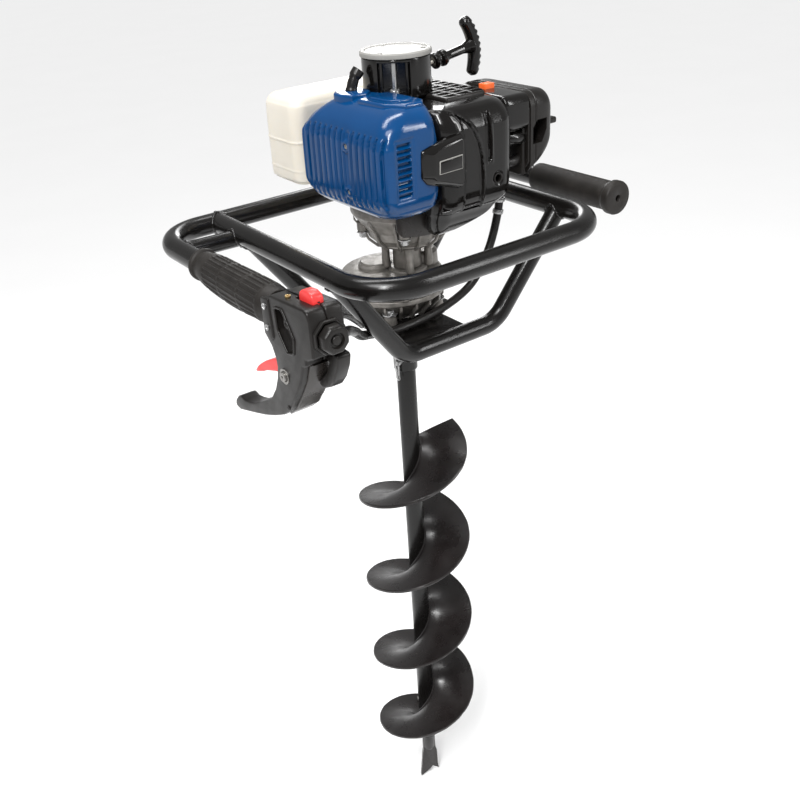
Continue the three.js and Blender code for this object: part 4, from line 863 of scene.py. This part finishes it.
side = raw("side_cover_ribbed", lofted([
    [37, -76, -15.6, -96, 30, 24], [39.5, -80.5, -15.6, -101, 36, 22], [43, -84, -15.6, -105, 42, 20], [49, -86.8, -15.6, -108, 48.4, 17], [58, -88.8, -15.6, -110, 53, 14.5], [68, -89.2, -15.6, -110.6, 53.4, 14],
    [108, -88.8, -15.6, -111, 53.4, 14], [117, -87.6, -15.6, -110.8, 50.6, 15], [125, -85.4, -15.6, -110.2, 46, 17], [132, -82, -15.6, -109, 40.4, 19], [138, -76.6, -15.6, -105.4, 33.6, 20], [143, -70, -15.6, -100.6, 27, 20],
    [146.5, -62, -15.6, -94, 23, 18], [148.6, -55, -15.6, -87, 21, 17], [149, -52, -15.6, -84, 20, 16]],
    n=440, disp=d_side, dense=1.2, k=4))
piece("side_cover_ribbed", side, "plastic_blue", rep="side_cover", angle=48, cuts=[lathe([(0, 140), (39.2, 140), (39.2, 160), (0, 160)], 64, (CX, 0, 0))])
piece("side_cover_screws", merge(*[hexbolt((-87.6, y, z), (-1, 0, 0), 5.2, 1.5, False, 1, True) for y, z in SCREWS]), "steel", angle=40)
boss = raw("sb", extrude([(-66, -4), (-60, -16), (-40, -17), (-30, -8), (-28, 14), (-38, 22), (-58, 20), (-66, 10)], "z", 140, 153))
piece("side_cover_boss", boss, "plastic_blue", bevel=(2.2, 4), cuts=[lathe([(0, 146), (7.2, 146), (7.2, 160), (0, 160)], 40, (-44, 8, 0))])
boss2 = raw("sb2", extrude([(-62, -28), (-60, -72), (-46, -92), (-24, -92), (-16.2, -82), (-16.2, -40), (-26, -28)], "z", 144, 151.2))
piece("side_cover_top_pad", boss2, "plastic_blue", bevel=(2.4, 4))
pad3 = raw("sb3", extrude([(-52, -38), (-50, -66), (-42, -78), (-26, -78), (-22, -70), (-22, -44), (-28, -36)], "z", 150, 153))
piece("side_cover_top_step", pad3, "plastic_blue", bevel=(1.4, 3))
tab = raw("sb4", extrude([(-34, -16), (-28, -33), (-14, -34), (-10, -20), (-16, -14)], "z", 142, 149.4))
piece("side_cover_ear", tab, "plastic_blue", bevel=(1.6, 3))

# rubber elbow on the cover
elbow = spaced(catmull([(-44, 8, 145), (-43.6, 8, 152), (-41.6, 7.6, 160), (-38, 7, 167), (-33.5, 6.2, 172.5)], 8), 1.0)
piece("ignition_boot", sweep(elbow, 5.8, 32, rf=lambda s, f, i: 5.9 + (0.9 if s < 9 else 0) + 0.9 * sm(21.5, 23, s)), "hose_rubber", rep="plug_boot", angle=50,
      cuts=[lathe([(0, -5), (3.4, -5), (3.4, 6), (0, 6)], 24, (-33.5, 6.2, 172.5), V(4.5, -0.8, 5.5))])

# ------------------------------------------------------------------ black front shroud
RIDGE1 = [(-8, 139), (4, 136.5), (14, 131), (23, 123.5), (30, 114), (36, 101), (39, 88), (40.5, 70), (41, 52), (40, 36), (39, 24)]
RIDGE2 = [(-2, 139), (5, 135), (10, 130), (13, 124), (14.5, 112), (14.8, 90), (14.4, 62), (13.4, 44), (12, 24)]


def near(path, x, z):
    best = 1e9
    for (x0, z0), (x1, z1) in zip(path, path[1:]):
        dx, dz = x1 - x0, z1 - z0
        t = min(max(((x - x0) * dx + (z - z0) * dz) / (dx * dx + dz * dz), 0), 1)
        best = min(best, math.hypot(x - x0 - dx * t, z - z0 - dz * t))
    return best


def across(path, x, z):
    """distance in x to the right of the path at height z"""
    for (x0, z0), (x1, z1) in zip(path, path[1:]):
        if min(z0, z1) <= z <= max(z0, z1) and z0 != z1:
            return x - (x0 + (x1 - x0) * (z - z0) / (z1 - z0))
    return x - path[-1][0]


def d_front(p, nrm):
    x, y, z = p
    nx, ny = nrm
    d = 0.0
    g = sm(0.75, 0.98, -ny)
    if g > 0 and -14 < x < 90:
        r1, r2 = across(RIDGE1, x, z), across(RIDGE2, x, z)
        d -= g * 3.0 * sm(0, 2.2, r2) * (1 - sm(-3.4, -0.4, r1))
        d += g * 1.4 * (1 - sm(0.5, 2.0, near(RIDGE1, x, z)))
        d += g * 0.9 * (1 - sm(0.4, 1.5, near(RIDGE2, x, z)))
        d -= g * 3.2 * win(x, 46.6, 51.6, 1.4) * win(z, 79, 128, 2.5)
        d += g * 0.8 * (win(x, 44.2, 54, 1.4) - win(x, 46.4, 51.8, 1.4)) * win(z, 76, 131, 2.5)
        d -= g * 1.0 * (1 - sm(6.5, 8.5, math.hypot(x - 61, z - 57)))
    # corner flutes on the outer right edge
    h = sm(0.55, 0.9, nx)
    if h > 0:
        d -= h * 1.2 * win(y, -92, -88.5, 1.2) * win(z, 44, 118, 5)
        d -= h * 1.2 * win(y, -60, -56.5, 1.2) * win(z, 44, 118, 5)
    return d


front = raw("front_shroud_shell", lofted([
    [26, -15.3, 68, -98, -28, 14], [30, -15.3, 78, -105, -28, 18], [42, -15.3, 88, -110, -26, 22], [76, -15.3, 91, -110.6, -26, 24], [112, -15.3, 92, -110, -26, 24],
    [124, -15.3, 90.4, -107.4, -26, 23], [130, -15.3, 88, -104, -26, 22], [135.5, -15.3, 83.6, -99.5, -26, 20], [138.5, -15.3, 78, -94, -26, 18]],
    n=380, disp=d_front, dense=1.4, k=4))
piece("front_shroud_shell", front, "plastic_gloss", rep="front_shroud", angle=50,
      cuts=[lathe([(0, -130), (4.6, -130), (4.6, -96), (0, -96)], 36, (61, 0, 57), (0, 1, 0)), lathe([(0, 80), (12.5, 80), (12.5, 100), (0, 100)], 40, (0, -36, 88), (1, 0, 0))])
piece("shroud_grommet", lathe(fillet([(4.2, 107), (5.8, 107), (5.8, 110.4), (4.2, 110.4)], 0.5, 2, True), 36, (61, 0, 57), (0, -1, 0)), "plastic_black")
# raised block across the seam, with a blank plate
b_low = [(-45, 79.5), (-44, 107), (-32, 110.4), (8.6, 116.4), (10, 112), (8.8, 61), (5, 58.6), (-38, 71)]
b_top = [(-33.5, 80), (-33.5, 103.5), (-28, 107), (5, 113), (6.8, 110), (6.4, 66), (4, 63.6), (-30, 75)]
vs = [V(x, -106, z) for x, z in b_low] + [V(x, -112.4, z) for x, z in b_low] + [V(x, -119.6, z) for x, z in b_top]
fs = [list(range(8))[::-1], [16 + k for k in range(8)]]
for t in (0, 8):
    fs += [[t + k, t + (k + 1) % 8, t + 8 + (k + 1) % 8, t + 8 + k] for k in range(8)]
badge = raw("badge", (vs, fs))
piece("badge_block", badge, "plastic_gloss", bevel=(1.8, 4, 20))
piece("badge_plate_frame", extrude([(-27.6, 81.0), (-27.0, 95.0), (3.6, 96.6), (3.4, 81.6)], "y", -120.3, -118), "lid_metal", bevel=(0.4, 2))
piece("badge_plate_face", extrude([(-26.6, 82.0), (-26.0, 94.1), (2.7, 95.6), (2.5, 82.6)], "y", -120.7, -118), "plastic_gloss", bevel=(0.3, 2))
# seam strip and lower lip of the shroud
lip = catmull([(-15, -104.5, 34), (20, -105.5, 33.5), (60, -103, 34), (78, -92, 35), (86, -74, 36), (86.5, -45, 36)], 8)
piece("shroud_lower_bead", sweep(lip, 1.7, 14), "plastic_gloss", angle=60)

# ------------------------------------------------------------------ fan housing and its top grille
fan = raw("fan_housing_shell", lofted([[70.3, -15, 88, -25.6, 48, 14], [76, -15, 89.6, -25.6, 48, 14], [128, -15, 90, -25.6, 48, 14], [134, -15, 88.6, -25.6, 47, 13.5], [138, -15, 86, -25.6, 45, 12.5], [140, -15, 84, -25.6, 44, 12]], n=160, k=4))
piece("fan_housing_shell", fan, "plastic_gloss", rep="fan_housing", angle=45)
well = raw("well", extrude([(24, -70), (78, -70), (84, -60), (84, 28), (78, 36), (30, 36), (24, 26)], "z", 132, 142.5))
piece("grille_frame", well, "plastic_black", bevel=(2.2, 4), cuts=[box(29 + 18.2 * i, 44.6 + 18.2 * i, -66.5 + 12.4 * j, -57.0 + 12.4 * j, 137, 150) for i in range(3) for j in range(8)], angle=40)
vanes = []
for i in range(3):
    for j in range(8):
        x0, y0 = 29 + 18.2 * i, -66.5 + 12.4 * j
        vanes.append(extrude([(y0 + 2.0, 137), (y0 + 3.4, 137), (y0 + 6.4, 141.6), (y0 + 5.0, 141.6)], "x", x0, x0 + 15.6))
        vanes.append(extrude([(y0 + 5.6, 137), (y0 + 7.0, 137), (y0 + 9.4, 140.4), (y0 + 8.2, 140.8)], "x", x0, x0 + 15.6))
piece("grille_vanes", raw("gv", merge(*vanes)), "plastic_gloss", bevel=(0.3, 2))
piece("fuse_fitting", merge(lathe(P2([(0, 138), (5, 138), (5, 147), (3.4, 149), (3.4, 156), (0, 156)], 0.8), 28, (68, 43, 0)), hexbolt((84, 36, 139), (0, 0, 1), 7, 8, True)), "zinc", angle=35)

# ------------------------------------------------------------------ starter
can = raw("can", lathe(P2([(0, 140.3), (36, 140.3), (38, 143), (38, 183.1), (0, 183.1)], 1.6), 110, (CX, 0, 0)))
nd = V(-0.66, -0.75, 0).normalized()
sd = V(nd.y, -nd.x, 0)
c0 = V(CX, 0, 0) + nd * 29.5
corner = [c0 + sd * 17 , c0 + sd * 19 + nd * 14, c0 - sd * 19 + nd * 14, c0 - sd * 17]
piece("starter_can", can, "plastic_gloss", rep="starter_housing", angle=40, cuts=[extrude([(p.x, p.y) for p in corner], "z", 145, 179.5)], post_bevel=(0.8, 2, 50))
piece("starter_niche_ribs", merge(*[lathe([(0, 144), (2.0, 144), (2.0, 181), (0, 181)], 16, (c0 + sd * t + nd * 1.0)) for t in (-14, 14)]), "plastic_gloss", angle=40)
rod = c0 + nd * 3.6
piece("starter_niche_bolt", merge(lathe([(0, 150), (2.6, 150), (2.6, 181), (0, 181)], 24, rod), lathe(P2([(0, 140.5), (5.4, 140.5), (5.4, 151), (4.4, 152), (0, 152)], 0.6), 32, rod)), "zinc", angle=40)
piece("starter_lid_plate", lathe(P2([(0, 183.3), (39.5, 183.3), (39.5, 187.6), (38.2, 189), (34.5, 189), (33.5, 188.2), (0, 188.4)], 0.7), 120, (CX, 0, 0)), "lid_metal", rep="starter_lid", angle=30)
piece("starter_lid_rivet", merge(*[lathe(P2([(0, 188.1), (2.6, 188.1), (2.4, 188.9), (0, 189)], 0.3), 24, (CX + 30 * math.cos(rad(a)), 30 * math.sin(rad(a)), 0)) for a in (200, 320, 80)]), "lid_metal", angle=40)
tilt = rad(10)
pull = V(math.cos(tilt), 0, math.sin(tilt))
side_v = V(-pull.z, 0, pull.x)
r0 = V(CX, 20, 151)
piece("rope_guide_bush", lathe(P2([(3, 28.5), (6.4, 28.5), (6.4, 46), (9, 48), (9, 54), (7, 57), (3, 57)], 1.0, 3, True), 48, r0, pull), "plastic_black", rep="rope_guide", angle=40)
rope = sweep([r0 + pull * s for s in [28 + 1.6 * k for k in range(26)]], 2.0, 16, rf=lambda s, f, i: 1.85 + 0.15 * math.cos(3 * f + s * 1.5))
rope_o = piece("starter_cord", rope, "rope", rep="starter_rope", angle=80, ride=False)
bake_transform(rope_o)
hp = []
bar = []
for k in range(-24, 25):
    t = k / 24
    bar.append(r0 + pull * (129.5 - 10.5 * t * t) + side_v * (33.2 * t))


def bar_r(s, f, i):
    t = (i - 24) / 24
    end = math.sqrt(max(0.0, 1 - max(0, abs(t) - 0.86) ** 2 / 0.14 ** 2)) if abs(t) > 0.86 else 1.0
    return (7.9 - 1.0 * t * t) * max(end, 0.12)


handle_bar = sweep(bar, 7, 36, rf=bar_r, squash=1.0, up=(0, 1, 0))
# finger ridges on the outer side
vs = []
for p in handle_bar[0]:
    rel = p - r0
    along, across = rel.dot(pull), rel.dot(side_v)
    t = across / 33.5
    centre = 129.5 - 10.5 * t * t
    out = sm(1.0, 5.5, along - centre)
    vs.append(p + pull * (out * 1.1 * math.cos(across * 2 * math.pi / 7.2) * (1 - sm(0.80, 0.95, abs(t)))))
handle_bar = (vs, handle_bar[1])
stem = lathe(P2([(0, 67), (6.2, 67), (8.6, 68.6), (9.2, 71), (8.2, 73.4), (5.6, 75), (5.6, 77), (9.0, 79), (9.6, 82), (8.6, 85), (5.6, 87), (5.2, 92), (5.4, 112), (7.2, 119), (10, 126), (0, 127)], 0.9), 44, r0, pull)
hb = raw("t_bar", handle_bar)
boolean(hb, raw("t_stem", stem), "UNION")
piece("starter_t_handle", hb, "plastic_gloss", "pull_handle", "starter_handle", angle=42)

# ------------------------------------------------------------------ intake side
refine("carburettor", "cast_aluminium", bevel=0.8)
refine("throttle_lever", "steel", bevel=0.5)
refine("filter_base", "plastic_black", bevel=1.2)
refine("choke_lever", "plastic_orange", bevel=1.5, segs=4)
pb = P2([(0, 0), (9, 0), (9, 2.6), (8.2, 6.4), (5.6, 9.6), (2.4, 10.8), (0, 11)], 0.8)
piece("primer_dome", lathe(pb, 48, (104, -36, 67.7), (0, 0, -1)), "hose_rubber", body="primer", rep="primer_bulb", angle=50)
piece("intake_pipe", sweep(spaced(catmull([(90, -70, 87.5), (98, -78, 87), (108, -81, 86.4), (118, -81, 86), (130, -80, 85.6), (137, -75, 85.4)], 10), 1.0), 8.2, 36), "plastic_gloss", angle=45)
piece("breather_pipe", sweep(catmull([(86, -72, 60), (98, -80, 60), (112, -81, 60.5), (124, -76, 62)], 8), 5.2, 28), "hose_rubber", angle=50)
box_in = raw("intake_box", lofted([[88, -92, -30, 97, 134, 9], [92, -94, -28, 95.4, 135.6, 10], [119, -94, -28, 95, 135.4, 10], [121.6, -93, -29, 96, 134.6, 9.5]], n=120, ax="x", k=3))
piece("intake_box", box_in, "plastic_gloss", angle=45)


def d_filter(p, nrm):
    # p is (y, z, x) here
    y, z, x = p
    d = 0.0
    d -= 0.9 * win(x, 131.5, 133.5, 0.9)
    return d


fc = raw("filter_cover_shell", lofted([[124.4, -94, 25, 42, 135.4, 17], [133, -94, 25, 46.8, 135.6, 17], [142, -93.8, 24.6, 52, 135.4, 17], [150, -92.8, 23.6, 57.6, 134.6, 17.5], [156, -91, 22, 62.6, 133, 18], [160.4, -88, 19.4, 67, 130, 18], [162.6, -84, 15.6, 71, 126, 17], [163.4, -80, 12, 75, 122, 15]], n=260, disp=d_filter, ax="x", dense=1.0, k=4))
piece("filter_cover_shell", fc, "plastic_black", rep="filter_cover", angle=42,
      cuts=[extrude([(128, 78), (128, 96), (135, 104), (150, 104), (150, 92), (142, 78)], "y", -96, -76), lathe([(0, 150), (9, 150), (11, 170), (0, 170)], 48, (0, -62, 92), (1, 0, 0))])
piece("filter_cover_rim", extrude([(-93, 58), (-93, 118), (-80, 135), (8, 135), (25, 120), (25, 60), (10, 41), (-78, 41)], "x", 121.6, 124.2), "plastic_black", bevel=(1.0, 3), cuts=[extrude([(-88, 60), (-88, 116), (-78, 130), (6, 130), (20, 118), (20, 62), (8, 46), (-76, 46)], "x", 120, 126)])
knob = [(0, 150), (3, 150), (3, 163.4), (7.4, 163.4), (8.6, 166), (8.6, 171), (6.4, 173), (5.2, 178), (0, 178)]
kb = raw("kb", lathe(P2(knob, 0.8), 40, (0, -62, 92), (1, 0, 0)))
boolean(kb, bevelled(raw("kw", box(166, 186, -73, -51, 88.4, 95.6)), 2.2, 4), "UNION")
piece("filter_wing_knob", kb, "plastic_black", body="knob", rep="filter_knob", angle=38)

# ------------------------------------------------------------------ tank
def d_tank(p, nrm):
    x, y, z = p
    d = 0.9 * win(z, 94.2, 96.4, 0.8)
    if nrm[0] < -0.5 or nrm[1] > 0.5:
        d += 0.5 * win(z, 62, 64, 1.0)
    return d


tank = raw("tank", lofted([[46, -85, 106, 60, 121, 12], [48, -88.4, 109.4, 57, 124.6, 14], [51, -90.6, 111.6, 55.2, 126.6, 15.4], [56, -92, 113, 54, 128, 16], [95, -92, 113, 53.8, 128, 16], [130, -91.4, 112.4, 54, 127.4, 16], [137, -89.6, 110.8, 55.6, 125.8, 15], [141, -87, 108, 58, 123.4, 14], [143.4, -83.6, 104.6, 61, 120, 11.5], [144, -81, 102, 63.4, 117.6, 10]], n=280, disp=d_tank, dense=1.2, k=4))
piece("fuel_tank_blown", tank, "tank_plastic", rep="fuel_tank", angle=50)
piece("fuel_tank_neck", lathe(P2([(10.5, 140), (13, 140), (13, 150), (10.5, 150)], 0.5, 2, True), 48, (60, 90, 0)), "tank_plastic", angle=40)
piece("fuel_cap_grip", lathe(P2([(0, 150.3), (16.8, 150.3), (17.4, 152), (17.4, 161), (16.2, 163.6), (11, 164), (10, 162.4), (0, 162.2)], 0.7), 144, (60, 90, 0), rf=lambda r, z, f: r + (0.6 * max(0, math.cos(f * 18)) ** 0.5 if r > 16 and 152 < z < 162.5 else 0)), "plastic_black", body="tank_cap", rep="fuel_cap", angle=40)

# ------------------------------------------------------------------ drill
TIP = -942.7
piece("drill_socket_turned", lathe(P2([(10.4, -195), (14.6, -195), (15.2, -193.6), (15.2, -150), (14.4, -148), (10.4, -148)], 0.9, 3, True), 64, (0, 0, 0)), "frame_paint", body="drill", rep="drill_socket", angle=35)
piece("drill_tube_drawn", lathe(P2([(0, TIP + 92), (12.3, TIP + 92), (12.3, -195.3), (0, -195.3)], 0.6), 56, (0, 0, 0)), "frame_paint", body="drill", rep="drill_tube", angle=35)
H0, PITCH, A0, A1, FT = -864.3, 140.9, 50, 1442, 5.0
ri, ro = 12.0, 75.0
vs, fs = [], []
steps = int((A1 - A0) / 3)
RP = [0, 0.12, 0.3, 0.5, 0.7, 0.85, 0.95, 0.985, 1.0]
row = len(RP) * 2
for i in range(steps + 1):
    th = A0 + (A1 - A0) * i / steps
    z = H0 + PITCH * th / 360
    o = ro - 0.22 + 0.14 * math.sin(th * 0.11) + 0.08 * math.sin(th * 0.37 + 1)
    thin = 1.0 - 0.35 * sm(A0 + 14, A0, th)
    for s, half in ((1, 0), (-1, 1)):
        for k in (range(len(RP)) if s > 0 else reversed(range(len(RP)))):
            u = RP[k]
            r = ri + (o - ri) * u
            t = FT * (0.5 if u < 0.98 else 0.5 if u < 0.99 else 0.28) * thin
            dish = 0.6 * math.sin(u * math.pi) * math.sin(th * 0.045)
            vs.append(V(r * math.cos(rad(th)), r * math.sin(rad(th)), z - FT / 2 + s * t + dish))
for i in range(steps):
    for k in range(row):
        a, b = i * row + k, i * row + (k + 1) % row
        fs.append([a, b, b + row, a + row])
fs.append(list(range(row)))
fs.append([steps * row + k for k in range(row)][::-1])
piece("drill_flight_rolled", (vs, fs), "flight_paint", body="drill", rep="drill_flight", angle=42)
wb = []
for sgn in (0.4, -FT - 0.4):
    pts = []
    for i in range(int((A1 - A0 - 8) / 4)):
        th = A0 + 4 + 4 * i
        pts.append(V(12.6 * math.cos(rad(th)), 12.6 * math.sin(rad(th)), H0 + PITCH * th / 360 + sgn))
    wb.append(sweep(pts, 1.9, 10, rf=lambda s, f, i: 1.8 + 0.3 * math.sin(s * 1.9)))
piece("drill_weld", merge(*wb), "flight_paint", body="drill", angle=60)
refine("cutting_blade", "steel", bevel=0.7)
th = rad(A0 + 14)
cb = []
for r in (34, 58):
    cb.append(hexbolt((r * math.cos(th) , r * math.sin(th), H0 + PITCH * (A0 + 14) / 360 + 1.1), (0, 0, 1), 9, 3.2, True, 0, True))
piece("blade_bolts", merge(*cb), "steel", body="drill", angle=35)
refine("pilot_point", "flight_paint", bevel=0.9)
refine("output_shaft", "steel", bevel=0.4)
pd = V(math.cos(rad(205)), math.sin(rad(205)), 0)
piece("hitch_pin_turned", lathe(P2([(0, -19), (5.4, -19), (6, -18), (6, -16.2), (5.6, -15.8), (4, -15.8), (4, 20.8), (3, 22), (0, 22)], 0.4), 36, (0, 0, -180), pd), "zinc", "drill", "hitch_pin", angle=38, cuts=[lathe([(0, -12), (1.5, -12), (1.5, 12), (0, 12)], 16, pd * 18.5 + V(0, 0, -180))])
sv = V(-pd.y, pd.x, 0)
at = lambda u, w, z: pd * (18.5 + u) + sv * w + V(0, 0, -180 + z)
clip = catmull([at(0, 0, 8), at(0, 0, 2), at(0, 0, -8), at(0, 0, -17), at(0.4, 1, -20.5), at(2.2, 1.5, -22.6), at(4.6, 1, -21.5), at(5.2, 0, -18), at(6, 0, -11), at(7.2, 0, -5), at(8, 0, 0), at(7, 0, 5), at(6.4, 0, 9), at(8, 0, 12)], 6)
piece("hairpin_wire", sweep(clip, 1.1, 14), "zinc", "clip", "hairpin_clip", angle=60)

# ------------------------------------------------------------------ inner parts still showing through gaps
for node, m in (("cylinder", "cast_iron"), ("muffler", "cast_iron"), ("flywheel_fan", "cast_aluminium"), ("spark_plug", "steel"), ("clutch_rotor", "cast_iron"), ("clutch_drum", "steel"), ("crankshaft", "steel"),
                ("intermediate_gear", "steel"), ("output_gear", "steel"), ("output_bearing", "steel"), ("starter_reel", "plastic_black"), ("filter_element", "foam")):
    me = frame["nodes"][node].data
    me.materials.clear()
    me.materials.append(M[m])

# ------------------------------------------------------------------ floor and light
fl = bpy.data.meshes.new("floor")
fl.from_pydata([(-40, -40, -0.9432), (40, -40, -0.9432), (40, 40, -0.9432), (-40, 40, -0.9432)], [], [[0, 1, 2, 3]])
floor = bpy.data.objects.new("floor", fl)
bpy.context.scene.collection.objects.link(floor)
fl.materials.append(M["floor_paint"])
world = bpy.data.worlds.new("studio")
bpy.context.scene.world = world
world.use_nodes = True
bg = world.node_tree.nodes["Background"]
bg.inputs["Color"].default_value = (1, 1, 1, 1)
bg.inputs["Strength"].default_value = 0.38
bpy.context.scene.view_settings.view_transform = "Standard"


def area(name, loc, target, sx, sy, power):
    ld = bpy.data.lights.new(name, "AREA")
    ld.shape = "RECTANGLE"
    ld.size, ld.size_y, ld.energy = sx, sy, power
    o = bpy.data.objects.new(name, ld)
    bpy.context.scene.collection.objects.link(o)
    o.location = loc
    o.rotation_euler = (Vector(target) - Vector(loc)).to_track_quat("-Z", "Y").to_euler()


sd_ = bpy.data.lights.new("daylight", "SUN")
sd_.energy, sd_.angle = 2.0, rad(30)
so = bpy.data.objects.new("daylight", sd_)
bpy.context.scene.collection.objects.link(so)
so.rotation_euler = V(0.55, 0.30, -1.0).to_track_quat("-Z", "Y").to_euler()
area("key", (-1.15, -1.05, 1.25), (0, 0, 0), 0.22, 0.9, 26)
area("strip", (0.95, -1.35, 0.8), (0, 0, -0.1), 0.14, 1.3, 12)
area("top", (0.0, 0.5, 1.5), (0, 0, 0), 1.2, 0.25, 14)
area("back", (0.9, 1.3, 0.6), (0, 0, -0.2), 0.4, 1.0, 10)
